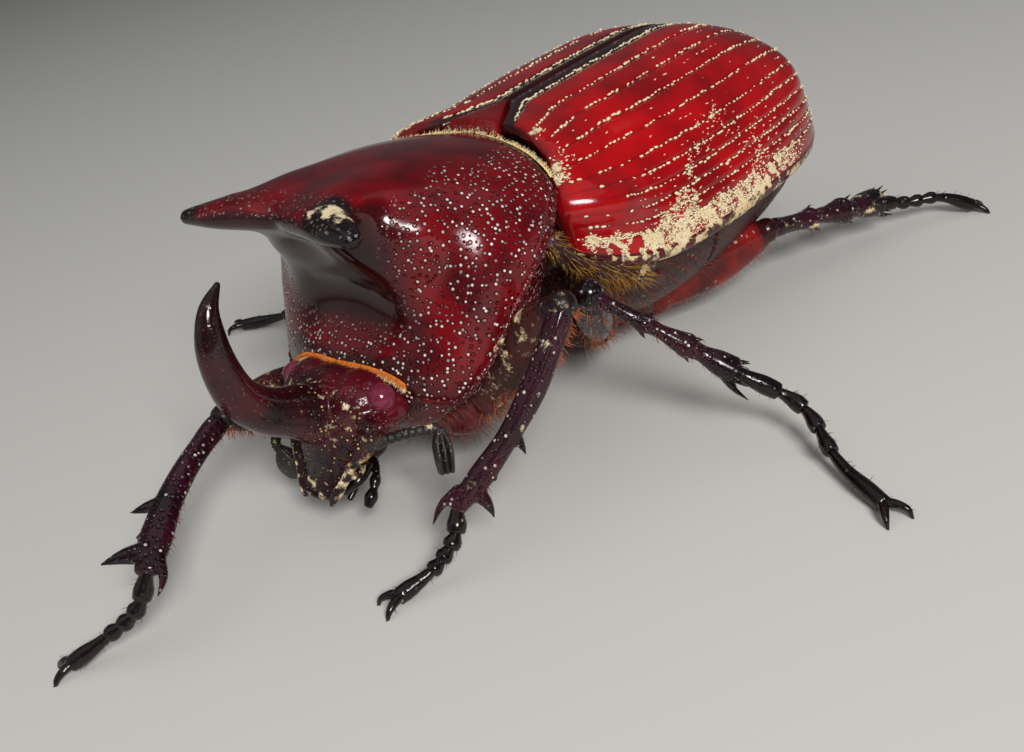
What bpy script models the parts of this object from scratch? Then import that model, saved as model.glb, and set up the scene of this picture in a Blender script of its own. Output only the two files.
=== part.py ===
"""Male Coelosis rhinoceros beetle, a still life-size model standing on a flat floor.

The body is modelled in millimetres in its own frame: it faces -Y, its left side is +X,
y = 0 is the joint between pronotum and wing cases, z = 0 is the level of the wing-case
margins. stand() then puts the soles on z = 0, centres the animal and turns it to metres.
"""
import math

import bmesh
import bpy
from mathutils import Matrix, Vector

MM = 0.001
GAP = 0.3
# Points closer than this are one after a join
SAME = 0.0005

# Wing cases
CASE_LENGTH = 25.6
CASE_HALF_WIDTH = 10.3
CASE_WIDEST_Y = 11.7
CASE_TOP = 8.1
CASE_TOP_Y = 15.0
CASE_BASE_TOP = 7.75
CASE_WALL = 0.7
# How the sides narrow to the shoulders: a length and a power
SHOULDER_FALL = (20.7, 2.6)
# How plan and top line round off at the tip: sharpness and fullness
PLAN_FALL = (2.9, 2.35)
TOP_FALL = (2.2, 2.0)
# Powers of the cross-section: flat on top where the first is low, steep-sided
SECTION_SIDE = 0.68
SECTION_TOP = 1.12
# Rise of the side margin at the shoulder and at the tip: height, start, length
MARGIN_SHOULDER = (1.1, 5.0, 5.0)
MARGIN_TIP = (0.5, 18.0, 7.0)
# Knobs of a wing case: height, place along y, reach, place across, reach
SHOULDER_KNOB = (0.95, 0.5, 2.2, 0.71, 0.12)
TIP_KNOB = (0.35, 20.5, 1.8, 0.55, 0.16)
# Rounding of the base edge: length along y and depth
BASE_ROUND = (1.6, 0.6)
# Forward bulge of the base edge at the shoulder: reach, place across, spread
SHOULDER_BULGE = (0.5, 0.7, 0.16)
# Base edge: place at the midline and share of the pronotum's bow
BASE_EDGE = (0.35, 1.15)
SUTURE = GAP / 2
STRIAE = 10
STRIA_DEPTH = 0.1

# Scutellum, the small triangle between the wing cases
SCUTELLUM_HALF_WIDTH = 2.3
SCUTELLUM_LENGTH = 3.7
SCUTELLUM_THICKNESS = 0.6

# Prothorax: margin line as (y, x, z), top line and sternum line as (y, z)
PRONOTUM_LENGTH = 12.4
PRONOTUM_MARGIN = [(0.0, 6.9, 5.5), (-2.2, 7.8, 4.4), (-5.0, 8.2, 3.1), (-7.2, 8.0, 1.7),
                   (-9.6, 7.2, -0.6), (-11.6, 5.7, -1.8), (-12.4, 4.2, -1.4)]
PRONOTUM_TOP = [(0.0, 7.4), (-3.0, 8.2), (-6.0, 8.7), (-8.6, 8.3), (-9.6, 6.2), (-10.3, 3.9),
                (-11.3, 1.7), (-12.4, 0.1)]
PROSTERNUM = [(0.0, -2.4), (-3.0, -4.2), (-7.5, -5.4), (-10.0, -4.7), (-11.6, -3.9), (-12.4, -2.8)]
BASE_BOW = -1.8
FRONT_BOW = 0.6
BOW_POWER = 1.3

# Horn of the pronotum: stem stations as (y, z, half width, half thickness), then one lobe
STEM_STATIONS = [(-5.4, 6.9, 3.3, 1.3), (-8.6, 7.4, 3.8, 1.4), (-10.8, 7.7, 3.6, 1.15),
                 (-12.7, 7.9, 2.8, 0.7)]
LOBE_STATIONS = [(0.6, -12.0, 8.0, 1.5, 1.0), (2.4, -12.6, 8.1, 1.35, 0.95),
                 (4.3, -13.4, 8.05, 1.0, 0.68), (6.0, -13.98, 8.0, 0.5, 0.38)]
# Thickening that leads the top smoothly from the stem into a lobe
BRIDGE_STATIONS = [(1.6, -7.6, 7.4, 1.9, 1.1), (2.4, -10.2, 7.8, 1.9, 1.1), (2.9, -11.8, 8.0, 1.5, 1.0)]
# Web under each lobe's root, as (x, y, z, half width, half thickness)
WEB_STATIONS = [(1.8, -12.0, 7.2, 1.0, 0.9), (2.6, -11.1, 6.3, 1.3, 1.1), (3.2, -10.5, 5.3, 1.3, 1.1)]

# Head: stations along its axis as (y, z, half width, half depth)
HEAD_STATIONS = [(-10.4, -1.4, 2.8, 1.3), (-12.0, -1.7, 3.4, 1.8), (-13.2, -2.6, 3.3, 1.85),
                 (-14.0, -3.8, 2.4, 1.4), (-14.8, -4.9, 1.7, 0.9), (-15.5, -5.6, 1.35, 0.5)]
HORN_STATIONS = [(-13.6, -2.2, 1.5), (-15.3, -1.1, 1.35), (-17.2, 0.15, 1.1), (-18.1, 1.3, 1.05),
                 (-18.5, 2.9, 0.92), (-18.45, 4.6, 0.75), (-18.0, 5.9, 0.45), (-17.2, 6.7, 0.15)]
EYE_PLACE = (3.2, -12.8, -1.05)
EYE_RADIUS = 0.72
ANTENNA_STATIONS = [(3.0, -14.2, -2.8, 0.45), (5.2, -13.1, -2.4, 0.35), (6.4, -12.3, -2.3, 0.35)]
CLUB_STATIONS = [(6.3, -12.3, -2.4, 0.4, 0.4), (6.6, -12.5, -3.0, 0.72, 0.5),
                 (6.7, -12.8, -4.0, 0.75, 0.5), (6.6, -12.9, -4.5, 0.45, 0.4)]
RIGHT_STALK_STATIONS = [(3.0, -14.2, -2.8, 0.45), (3.7, -14.9, -4.1, 0.35), (3.8, -14.8, -4.6, 0.35)]
RIGHT_CLUB_STATIONS = [(3.8, -14.8, -4.4, 0.4, 0.4), (3.8, -14.7, -5.0, 0.72, 0.5),
                       (3.7, -14.5, -5.9, 0.75, 0.5), (3.6, -14.4, -6.4, 0.45, 0.4)]

# Height of the wing-case margins over the floor
MARGIN_HEIGHT = 8.2

# Legs: hip, knee, then the foot's route from ankle to tip
LEGS = {
    "front_left": ((4.4, -8.2, -3.7), (10.7, -7.0, 2.25),
                   ((8.3, -14.2, -5.05), (8.55, -15.0, -6.1), (8.25, -16.0, -6.95),
                    (7.25, -18.2, -7.8))),
    "middle_left": ((4.5, 2.2, -4.6), (9.6, -3.9, 1.1),
                    ((15.1, -0.7, -3.9), (18.0, 0.5, -6.1), (20.75, -1.5, -7.3),
                     (23.9, -3.25, -7.8))),
    "hind_left": ((4.2, 6.8, -5.5), (8.8, 14.4, -3.65),
                  ((11.2, 23.7, -5.6), (12.4, 25.9, -6.4), (13.9, 27.9, -6.75),
                   (15.6, 29.3, -7.8))),
    "front_right": ((-4.9, -8.5, -3.6), (-5.5, -16.4, -2.1),
                    ((-1.0, -24.9, -4.1), (-1.3, -25.8, -5.6), (-2.7, -27.3, -6.9),
                     (-3.95, -28.85, -7.8))),
    "middle_right": ((-4.5, 2.2, -4.6), (-10.4, -3.2, 0.4),
                     ((-17.2, -0.8, -4.3), (-20.4, 0.2, -6.4), (-23.1, 0.0, -7.4),
                      (-26.0, -1.5, -7.8))),
    "hind_right": ((-4.2, 6.8, -5.5), (-9.3, 14.0, -3.8),
                   ((-12.9, 22.9, -5.7), (-14.3, 25.0, -6.6), (-15.8, 26.9, -7.0),
                    (-17.6, 28.7, -7.8))),
}
# Thickness of thigh and walking shin for each pair
STOUT = {"front": (0.95, 0.95), "middle": (1.0, 0.88), "hind": (1.0, 1.2)}
# Directions in which the teeth of the front shins point
TEETH_LEFT = (0.7, 0.2, -0.65)
TEETH_RIGHT = (-0.85, -0.5, 0.2)
# Size of the left front shin's worn teeth beside the right one's
TEETH_WORN = 0.74
# Teeth of a front shin: part of the way down, reach, lean to the foot, radius
TEETH = ((0.6, 1.75, 0.45, 0.5), (0.8, 0.9, 0.3, 0.42), (0.9, 1.85, 0.5, 0.55))
# Forms of thigh and shins as (part of the way, half width, half thickness)
THIGH_FORM = ((-0.02, 0.9, 0.8), (0.14, 1.15, 0.85), (0.35, 1.5, 1.0), (0.6, 1.6, 1.05),
              (0.82, 1.25, 0.9), (0.95, 0.95, 0.78), (1.0, 0.6, 0.5))
FRONT_SHIN_FORM = ((0.0, 0.5, 0.5), (0.1, 0.6, 0.55), (0.35, 0.64, 0.55), (0.6, 0.73, 0.5),
                   (0.86, 0.82, 0.48), (1.0, 0.62, 0.42))
SHIN_FORM = ((0.0, 0.46, 0.46), (0.12, 0.5, 0.46), (0.38, 0.62, 0.54), (0.42, 0.52, 0.48),
             (0.68, 0.72, 0.62), (0.73, 0.6, 0.54), (0.93, 0.82, 0.7), (1.0, 0.76, 0.66))
# Bow of a front shin towards its teeth
SHIN_BOW = 0.6
# Crests of a walking shin: part of the way down, reach of the spines, how many
CRESTS = ((0.36, 0.6, 3), (0.66, 0.7, 3), (0.95, 0.8, 4))
# Joints of a foot as (share of its length, thickness); each flares as (part, share of thickness)
FOOT_JOINTS = ((0.22, 1.0), (0.14, 0.94), (0.13, 0.9), (0.13, 0.88), (0.38, 0.9))
JOINT_FLARE = ((0.06, 0.3), (0.45, 0.4), (0.9, 0.52))

FINISHES = {
    "elytra": ((0.30, 0.012, 0.010), 0.18),
    "pronotum": ((0.055, 0.006, 0.010), 0.22),
    "horn": ((0.020, 0.006, 0.006), 0.16),
    "head": ((0.035, 0.008, 0.008), 0.28),
    "eye": ((0.090, 0.018, 0.020), 0.10),
    "antenna": ((0.022, 0.018, 0.018), 0.40),
    "underside": ((0.050, 0.014, 0.010), 0.35),
    "leg": ((0.028, 0.006, 0.010), 0.22),
    "tarsus": ((0.012, 0.008, 0.010), 0.18),
}


def between(points, place):
    """Smooth value at a place along points whose first number falls or rises steadily."""
    sign = 1 if points[-1][0] > points[0][0] else -1
    last = len(points) - 1
    index = 0
    while index < last - 1 and sign * (place - points[index + 1][0]) > 0:
        index += 1
    before = points[max(index - 1, 0)]
    start = points[index]
    end = points[index + 1]
    after = points[min(index + 2, last)]
    span = end[0] - start[0]
    u = min(max((place - start[0]) / span, 0.0), 1.0)
    values = []
    for axis in range(1, len(start)):
        slope_in = (end[axis] - before[axis]) / (end[0] - before[0]) * span
        slope_out = (after[axis] - start[axis]) / (after[0] - start[0]) * span
        values.append((2 * u ** 3 - 3 * u ** 2 + 1) * start[axis]
                      + (u ** 3 - 2 * u ** 2 + u) * slope_in
                      + (3 * u ** 2 - 2 * u ** 3) * end[axis] + (u ** 3 - u ** 2) * slope_out)
    return values if len(values) > 1 else values[0]


def fall(part, sharpness, fullness):
    """Outline that stays near 1 and rounds down to 0 as part goes from 0 to 1."""
    return max(1 - min(max(part, 0.0), 1.0) ** sharpness, 0.0) ** (1 / fullness)


def case_half_width(y, inset):
    """Half width of both wing cases together at y, inset from the outer surface."""
    widest = CASE_HALF_WIDTH - inset
    if y < CASE_WIDEST_Y:
        length, power = SHOULDER_FALL
        return widest * (1 - ((CASE_WIDEST_Y - y) / length) ** power)
    part = (y - CASE_WIDEST_Y) / (CASE_LENGTH - inset - CASE_WIDEST_Y)
    return widest * fall(part, *PLAN_FALL)


def case_top(y, inset):
    """Height of the wing cases over the margin level along the suture."""
    top = CASE_TOP - inset
    if y < CASE_TOP_Y:
        return top - (CASE_TOP - CASE_BASE_TOP) * ((CASE_TOP_Y - y) / CASE_TOP_Y) ** 2
    part = (y - CASE_TOP_Y) / (CASE_LENGTH - inset - CASE_TOP_Y)
    return case_margin(y) + (top - case_margin(y)) * fall(part, *TOP_FALL)


def case_margin(y):
    """Height of the side margin, which climbs at the shoulder and a little at the tip."""
    height, start, length = MARGIN_SHOULDER
    shoulder = height * (max(start - y, 0) / length) ** 2
    height, start, length = MARGIN_TIP
    return shoulder + height * (max(y - start, 0) / length) ** 2


def suture_edge(y):
    """Distance of a wing case's inner edge from the midline."""
    beside_scutellum = SUTURE + SCUTELLUM_HALF_WIDTH * (1 - y / SCUTELLUM_LENGTH)
    return max(SUTURE, beside_scutellum)


def knob(y, t, height, y_place, y_reach, t_place, t_reach):
    """Height of a soft knob of the wing case."""
    return height * math.exp(-((y - y_place) / y_reach) ** 2 - ((t - t_place) / t_reach) ** 2)


def case_base(t):
    """Place along y of the wing case's base edge."""
    reach, place, spread = SHOULDER_BULGE
    start, share = BASE_EDGE
    bulge = reach * math.exp(-((t - place) / spread) ** 2)
    return start + share * BASE_BOW * math.sin(math.pi / 2 * t) ** 0.9 - bulge


def case_point(s, t, inset, ridged=True):
    """Point of the left wing case: s runs base to tip, t suture to margin."""
    across = math.pi / 2 * t
    base = case_base(t)
    y = base + (CASE_LENGTH - inset - base) * math.sin(math.pi / 2 * s)
    outer = max(case_half_width(y, inset), 0)
    edge = suture_edge(max(y, 0))
    margin = case_margin(y)
    rise = case_top(max(y, 0), inset) - margin
    narrowing = 1 - (edge - SUTURE) / CASE_HALF_WIDTH
    x = edge + max(outer - SUTURE, 0) * narrowing * math.sin(across) ** SECTION_SIDE
    z = margin + rise * max(math.cos(across), 0) ** SECTION_TOP
    bump = knob(y, t, *SHOULDER_KNOB) + knob(y, t, *TIP_KNOB)
    length, depth = BASE_ROUND
    lead = min(max(1 - (y - base) / length, 0), 1)
    bump -= depth * math.sin(across) * (1 - math.sqrt(1 - lead ** 2))
    if ridged:
        fade = min(1.0, 6 * s, 4 * (1 - s)) * min(1.0, 8 * (1 - t))
        bump -= STRIA_DEPTH * fade * (0.5 + 0.5 * math.cos(2 * math.pi * (STRIAE * t + 0.5)))
    out = Vector((math.sin(across), 0, math.cos(across)))
    return Vector((x, y, z)) + out * bump


def mesh_object(name, bm):
    """New object that holds the bmesh, which is freed."""
    mesh = bpy.data.meshes.new(name)
    bm.to_mesh(mesh)
    bm.free()
    made = bpy.data.objects.new(name, mesh)
    bpy.context.scene.collection.objects.link(made)
    return made


def loft(name, rings, start_pole=None, end_pole=None):
    """Closed body through rings of points, its ends drawn to a point or left flat."""
    bm = bmesh.new()
    rows = [[bm.verts.new(point) for point in ring] for ring in rings]
    count = len(rows[0])
    for low, high in zip(rows, rows[1:]):
        for i in range(count):
            j = (i + 1) % count
            bm.faces.new((low[i], low[j], high[j], high[i]))
    for row, pole, step in ((rows[0], start_pole, -1), (rows[-1], end_pole, 1)):
        if pole is None:
            bm.faces.new(row[::step])
            continue
        tip = bm.verts.new(pole)
        for i in range(count):
            pair = (row[i], row[(i + 1) % count])
            bm.faces.new((*pair[::step], tip))
    bmesh.ops.triangulate(bm, faces=bm.faces[:])
    bmesh.ops.recalc_face_normals(bm, faces=bm.faces[:])
    return mesh_object(name, bm)


def limb(name, stations, sides=8, flat=Vector((0, 0, 1)), blunt=0.5):
    """Body along stations (centre, half width, half thickness), thin across the flat vector."""
    centres = [Vector(station[0]) for station in stations]
    rings = []
    for i, (centre, (_, wide, thick)) in enumerate(zip(centres, stations)):
        along = (centres[min(i + 1, len(centres) - 1)] - centres[max(i - 1, 0)]).normalized()
        side = along.cross(flat).normalized()
        up = side.cross(along)
        ring = []
        for k in range(sides):
            angle = 2 * math.pi * (k + 0.5) / sides
            ring.append(centre + side * wide * math.cos(angle) + up * thick * math.sin(angle))
        rings.append(ring)
    start = centres[0] + (centres[0] - centres[1]).normalized() * stations[0][2] * blunt
    end = centres[-1] + (centres[-1] - centres[-2]).normalized() * stations[-1][2] * blunt
    return loft(name, rings, start, end)


def ball(name, centre, radii, segments=12, rings=8):
    """Ellipsoid at a place."""
    bm = bmesh.new()
    bmesh.ops.create_uvsphere(bm, u_segments=segments, v_segments=rings, radius=1)
    bmesh.ops.scale(bm, vec=radii, verts=bm.verts)
    bmesh.ops.translate(bm, vec=centre, verts=bm.verts)
    bmesh.ops.triangulate(bm, faces=bm.faces[:])
    return mesh_object(name, bm)


def spike(name, root, tip, radius, sides=5):
    """Cone from a root, which is sunk in what it grows from, to a tip."""
    root = Vector(root)
    tip = Vector(tip)
    bm = bmesh.new()
    bmesh.ops.create_cone(bm, cap_ends=True, segments=sides, radius1=radius, radius2=radius * 0.12,
                          depth=(tip - root).length)
    turn = (tip - root).to_track_quat("Z", "Y").to_matrix().to_4x4()
    bmesh.ops.transform(bm, matrix=Matrix.Translation((root + tip) / 2) @ turn, verts=bm.verts)
    bmesh.ops.triangulate(bm, faces=bm.faces[:])
    return mesh_object(name, bm)


def keep_largest(bm):
    """Delete all but the closed surface of the largest volume."""
    unseen = set(bm.faces)
    shells = []
    while unseen:
        stack = [unseen.pop()]
        shell = []
        while stack:
            face = stack.pop()
            shell.append(face)
            for edge in face.edges:
                for other in edge.link_faces:
                    if other in unseen:
                        unseen.remove(other)
                        stack.append(other)
        shells.append(shell)

    def volume(shell):
        total = 0.0
        for face in shell:
            a, b, c = (vert.co for vert in face.verts)
            total += a.dot(b.cross(c)) / 6
        return total

    largest = max(shells, key=volume)
    keep = set(largest)
    bmesh.ops.delete(bm, geom=[face for face in bm.faces if face not in keep], context="FACES")


def boolean(base, others, operation, solver="EXACT"):
    """Union with, or cut by, a collection of closed bodies, applied; the others go."""
    group = bpy.data.collections.new("joined pieces")
    bpy.context.scene.collection.children.link(group)
    for other in others:
        group.objects.link(other)
    modifier = base.modifiers.new("Join", "BOOLEAN")
    modifier.operation = operation
    modifier.solver = solver
    modifier.operand_type = "COLLECTION"
    modifier.collection = group
    graph = bpy.context.evaluated_depsgraph_get()
    result = bpy.data.meshes.new_from_object(base.evaluated_get(graph))
    base.modifiers.clear()
    base.data = result
    for other in others:
        bpy.data.objects.remove(other)
    bpy.data.collections.remove(group)
    bm = bmesh.new()
    bm.from_mesh(result)
    bmesh.ops.remove_doubles(bm, verts=bm.verts, dist=SAME)
    bmesh.ops.dissolve_degenerate(bm, edges=bm.edges, dist=SAME)
    bmesh.ops.triangulate(bm, faces=bm.faces[:])
    keep_largest(bm)
    bm.to_mesh(result)
    bm.free()
    return base


def fuse(base, others):
    """One closed body from a base and the pieces rooted in it."""
    return boolean(base, others, "UNION") if others else base


def swollen(body, amount=GAP):
    """Copy of a body with its surface pushed outwards."""
    bm = bmesh.new()
    bm.from_mesh(body.data)
    bmesh.ops.recalc_face_normals(bm, faces=bm.faces[:])
    bm.normal_update()
    moved = [vert.co + vert.normal * vert.calc_shell_factor() * amount for vert in bm.verts]
    for vert, place in zip(bm.verts, moved):
        vert.co = place
    return mesh_object(body.name + " room", bm)


def cut_clear(body, *neighbours):
    """Cut a body back to stand GAP clear of the neighbours it meets."""
    for other in neighbours:
        boolean(body, [swollen(other)], "DIFFERENCE", "MANIFOLD")
    return body


def wing_case(name, side):
    """Shell of one wing case with its striae, open below."""
    rows = [0.0, 0.03] + [row / 12 for row in range(1, 12)]
    across = 2 * STRIAE
    bm = bmesh.new()
    layers = []
    for inset in (0.0, CASE_WALL):
        grid = []
        for s in rows:
            row = []
            for j in range(across + 1):
                point = case_point(s, j / across, inset, ridged=inset == 0.0)
                row.append(bm.verts.new((side * point.x, point.y, point.z)))
            grid.append(row)
        tip = case_point(1.0, 0.0, inset, ridged=False)
        layers.append((grid, bm.verts.new((side * tip.x, tip.y, tip.z))))
    for grid, tip in layers:
        for low, high in zip(grid, grid[1:]):
            for j in range(across):
                bm.faces.new((low[j], low[j + 1], high[j + 1], high[j]))
        for j in range(across):
            bm.faces.new((grid[-1][j], grid[-1][j + 1], tip))
    (outer, outer_tip), (inner, inner_tip) = layers
    for j in range(across):
        bm.faces.new((outer[0][j], outer[0][j + 1], inner[0][j + 1], inner[0][j]))
    for j in (0, across):
        for i in range(len(rows) - 1):
            bm.faces.new((outer[i][j], outer[i + 1][j], inner[i + 1][j], inner[i][j]))
        bm.faces.new((outer[-1][j], outer_tip, inner_tip, inner[-1][j]))
    bmesh.ops.triangulate(bm, faces=bm.faces[:])
    bmesh.ops.recalc_face_normals(bm, faces=bm.faces[:])
    return mesh_object(name, bm)


def scutellum():
    """Small triangular plate between the bases of the wing cases."""
    rings = []
    for y in (0.3, 1.2, 2.2, 3.0):
        half = suture_edge(y) - GAP
        top = case_top(y, 0) - 0.1
        low = top - SCUTELLUM_THICKNESS
        rings.append([(-half, y, low), (half, y, low), (half, y, top), (0, y, top + 0.15),
                      (-half, y, top)])
    return loft("scutellum", rings)


def trunk_ring(y, inset, depth, sides=20):
    """Section of the body under the wing cases: their inner form above, the belly below."""
    wide = case_half_width(y, inset)
    margin = case_margin(y)
    rise = case_top(y, inset) - margin
    ring = []
    for k in range(sides):
        angle = 2 * math.pi * k / sides
        turn = math.sin(angle)
        flank = SECTION_SIDE if turn > 0 else 0.9
        x = wide * math.copysign(abs(math.cos(angle)) ** flank, math.cos(angle))
        z = margin + rise * turn ** SECTION_TOP if turn > 0 else margin - depth * (-turn) ** 0.8
        ring.append(Vector((x, y, z)))
    return ring


BELLY = [(0.4, 4.4), (4.0, 5.6), (8.4, 5.8), (16.0, 5.0), (22.0, 3.2), (25.2, 1.2)]


def trunk():
    """Middle and hind thorax in one piece, with the neck that meets the prothorax."""
    inset = CASE_WALL + GAP
    rings = [trunk_ring(y, inset, between(BELLY, y)) for y in (0.4, 1.6, 3.0, 4.6, 6.4, 8.2)]
    body = loft("thorax", rings)
    neck = limb("neck", [((0, 1.5, 1.3), 4.8, 2.4), ((0, -1.4, 1.3), 4.4, 2.1)], 12)
    coxae = []
    for side in (-1, 1):
        coxae.append(ball("coxa", (side * 3.3, 2.6, -4.8), (2.1, 1.7, 1.5), 10, 6))
        coxae.append(ball("coxa", (side * 3.2, 6.2, -5.1), (2.4, 1.6, 1.4), 10, 6))
    return fuse(body, [neck] + coxae)


def abdomen():
    """Abdomen with the steps between its five belly plates and the last one at the tip."""
    inset = CASE_WALL + GAP
    start = 8.5
    end = CASE_LENGTH - inset - 0.05
    plates = 5
    rings = []
    for plate in range(plates):
        first = start + (end - start) * math.sin(math.pi / 2 * plate / plates)
        last = start + (end - start) * math.sin(math.pi / 2 * (plate + 1) / plates)
        for part, step in ((0.0, 0.22), (0.12, 0.0), (0.9, 0.05)):
            y = first + (last - first) * part
            rings.append(trunk_ring(y, inset, max(between(BELLY, y) - step, 0.4)))
    return loft("abdomen", rings, None, Vector((0, end, case_margin(end))))


def prothorax_ring(station, sides=28):
    """Section of the prothorax: the arch of the pronotum above, the sternum below."""
    wide, margin = between(PRONOTUM_MARGIN, station)
    top = between(PRONOTUM_TOP, station)
    low = between(PROSTERNUM, station)
    part = -station / PRONOTUM_LENGTH
    bow = BASE_BOW * (1 - part) + FRONT_BOW * part
    ring = []
    for k in range(sides):
        angle = 2 * math.pi * k / sides
        turn = math.sin(angle)
        x = wide * math.copysign(abs(math.cos(angle)) ** 0.8, math.cos(angle))
        if turn > 0:
            z = margin + (top - margin) * turn ** 0.9
        else:
            z = margin - (margin - low) * (-turn) ** 0.7
            x *= 1 - 0.35 * (-turn) ** 0.5
        ring.append(Vector((x, station + bow * abs(x / wide) ** BOW_POWER, z)))
    return ring


def prothorax():
    """Pronotum and prosternum in one piece, as on the real animal, with the front coxae."""
    stations = (-0.1, -1.2, -3.0, -5.0, -7.0, -8.4, -9.1, -9.7, -10.3, -11.0, -11.7, -12.2)
    rings = [prothorax_ring(station) for station in stations]
    body = loft("pronotum", rings, None, Vector((0, -12.5, -1.2)))
    coxae = [ball("coxa", (side * 3.4, -8.0, -3.9), (1.9, 2.0, 1.8), 10, 6) for side in (-1, 1)]
    return fuse(body, coxae)


def pronotum_horn():
    """Broad stem that splits into two blunt lobes, which spread sideways."""
    stem = limb("pronotum_horn", [((0, y, z), wide, thick) for y, z, wide, thick in STEM_STATIONS],
                14)
    lobes = []
    for side in (-1, 1):
        stations = [((side * x, y, z), wide, thick) for x, y, z, wide, thick in LOBE_STATIONS]
        lobes.append(limb("lobe", stations, 10))
        stations = [((side * x, y, z), wide, thick) for x, y, z, wide, thick in BRIDGE_STATIONS]
        lobes.append(limb("bridge", stations, 10))
        stations = [((side * x, y, z), wide, thick) for x, y, z, wide, thick in WEB_STATIONS]
        lobes.append(limb("web", stations, 10, Vector((1, 0, 0))))
    return fuse(stem, lobes)


def head():
    """Head capsule with the ridges beside the eyes and the two teeth of the clypeus."""
    stations = [((0, y, z), wide, deep) for y, z, wide, deep in HEAD_STATIONS]
    body = limb("head", stations, 16, Vector((0, -0.4, 0.9)))
    teeth = []
    for side in (-1, 1):
        teeth.append(spike("tooth", (side * 0.8, -15.1, -5.2), (side * 0.95, -16.0, -6.1), 0.5, 6))
        teeth.append(ball("mandible", (side * 2.0, -14.5, -4.9), (0.7, 0.8, 0.5), 8, 6))
        teeth.append(ball("cheek", (side * 3.2, -13.8, -2.2), (0.8, 0.8, 0.4), 8, 6))
    return fuse(body, teeth)


def mouthparts():
    """Lower lip under the head with its two pairs of feelers."""
    body = ball("mouthparts", (0, -12.6, -4.9), (1.7, 1.6, 1.0), 10, 6)
    pieces = []
    for side in (-1, 1):
        palp = [((side * 1.0, -12.8, -4.9), 0.35, 0.35), ((side * 2.0, -13.5, -5.3), 0.3, 0.3),
                ((side * 2.25, -14.1, -5.8), 0.32, 0.32), ((side * 2.3, -14.75, -6.4), 0.25, 0.25)]
        pieces.append(limb("palp", palp, 5))
    return fuse(body, pieces)


def eye(side):
    """Eye, a ball set in the side of the head."""
    x, y, z = EYE_PLACE
    return ball("eye_left" if side > 0 else "eye_right", (side * x, y, z), (EYE_RADIUS,) * 3, 12, 8)


def antenna(side):
    """Antenna with its stalk and the closed club of three leaves."""
    name = "antenna_left" if side > 0 else "antenna_right"
    stalk_line = ANTENNA_STATIONS if side > 0 else RIGHT_STALK_STATIONS
    club_line = CLUB_STATIONS if side > 0 else RIGHT_CLUB_STATIONS
    stalk = [((side * x, y, z), r, r) for x, y, z, r in stalk_line]
    club = [((side * x, y, z), wide, thick) for x, y, z, wide, thick in club_line]
    body = limb(name, stalk, 8)
    return fuse(body, [limb("club", club, 10, Vector((1, 0, 0)))])


def along(start, end, part):
    """Point a part of the way from start to end."""
    return start + (end - start) * part


def femur(name, hip, knee, stout):
    """Thigh: slim at the hip, swollen at two thirds, round at the knee."""
    flat = (knee - hip).cross(Vector((0, 0, 1))).normalized()
    stations = [(along(hip, knee, part), wide * stout, thick * stout)
                for part, wide, thick in THIGH_FORM]
    return limb(name, stations, 10, flat)


def front_tibia(name, knee, ankle, outward, worn):
    """Digging shin: flat and widening, outer teeth and an inner spur at the tip."""
    direction = (ankle - knee).normalized()
    out = (outward - direction * outward.dot(direction)).normalized()
    flat = direction.cross(out)
    stations = []
    for part, wide, thick in FRONT_SHIN_FORM:
        bow = out * SHIN_BOW * math.sin(math.pi * part)
        stations.append((along(knee, ankle, part) + bow, wide * (worn if part > 0.5 else 1), thick))
    body = limb(name, stations, 8, flat)
    pieces = []
    for part, reach, lean, radius in TEETH:
        root = along(knee, ankle, part) + out * 0.4
        tip = root + (out * reach + direction * reach * lean) * worn
        pieces.append(spike("tooth", root, tip, radius * worn, 6))
    root = along(knee, ankle, 0.93) - out * 0.3
    lean = 0.75 if worn == 1 else 0.3
    pieces.append(spike("spur", root, root - out * lean + direction * 2.1, 0.35))
    return fuse(body, pieces)


def walking_tibia(name, knee, ankle, stout):
    """Shin of a middle or hind leg: two spiny crests, toothed tip and two spurs."""
    direction = (ankle - knee).normalized()
    side = direction.cross(Vector((0, 0, 1))).normalized()
    up = side.cross(direction)
    stations = [(along(knee, ankle, part), wide * stout, thick * stout)
                for part, wide, thick in SHIN_FORM]
    body = limb(name, stations, 8, up, 0.2)
    pieces = []
    for part, reach, count in CRESTS:
        for k in range(count):
            angle = math.pi * (k / (count - 1) * 1.5 - 0.25)
            out = side * math.cos(angle) + up * math.sin(angle)
            root = along(knee, ankle, part) + out * 0.25 * stout
            tip = root + (out * reach + direction * 0.6) * stout
            pieces.append(spike("spine", root, tip, 0.3, 4))
    for turn in (-1, 1):
        root = along(knee, ankle, 0.94) - up * 0.35 + side * 0.25 * turn
        pieces.append(spike("spur", root, root + direction * 1.7 - up * 0.4 + side * 0.35 * turn, 0.3))
    return fuse(body, pieces)


def tarsus(name, route):
    """Foot along its route: four short joints, a long last one and two claws."""
    stops = [(index / (len(route) - 1), *place) for index, place in enumerate(route)]
    stations = []
    place = 0.0
    for length, fat in FOOT_JOINTS:
        for part, share in JOINT_FLARE:
            radius = fat * share
            stations.append((Vector(between(stops, place + length * part)), radius, radius))
        place += length
    body = limb(name, stations, 7)
    tip = Vector(route[-1])
    direction = (tip - Vector(between(stops, 0.85))).normalized()
    side = direction.cross(Vector((0, 0, 1))).normalized()
    claws = []
    for turn in (-1, 1):
        root = tip - direction * 0.4
        claw = [(root, 0.28, 0.28), (root + direction * 0.62 + side * 0.36 * turn, 0.24, 0.24),
                (root + direction * 1.05 + side * 0.6 * turn, 0.16, 0.16),
                (root + direction * 1.25 + side * 0.66 * turn - Vector((0, 0, 0.36)), 0.07, 0.07)]
        claws.append(limb("claw", claw, 5))
    return fuse(body, claws)


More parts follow.
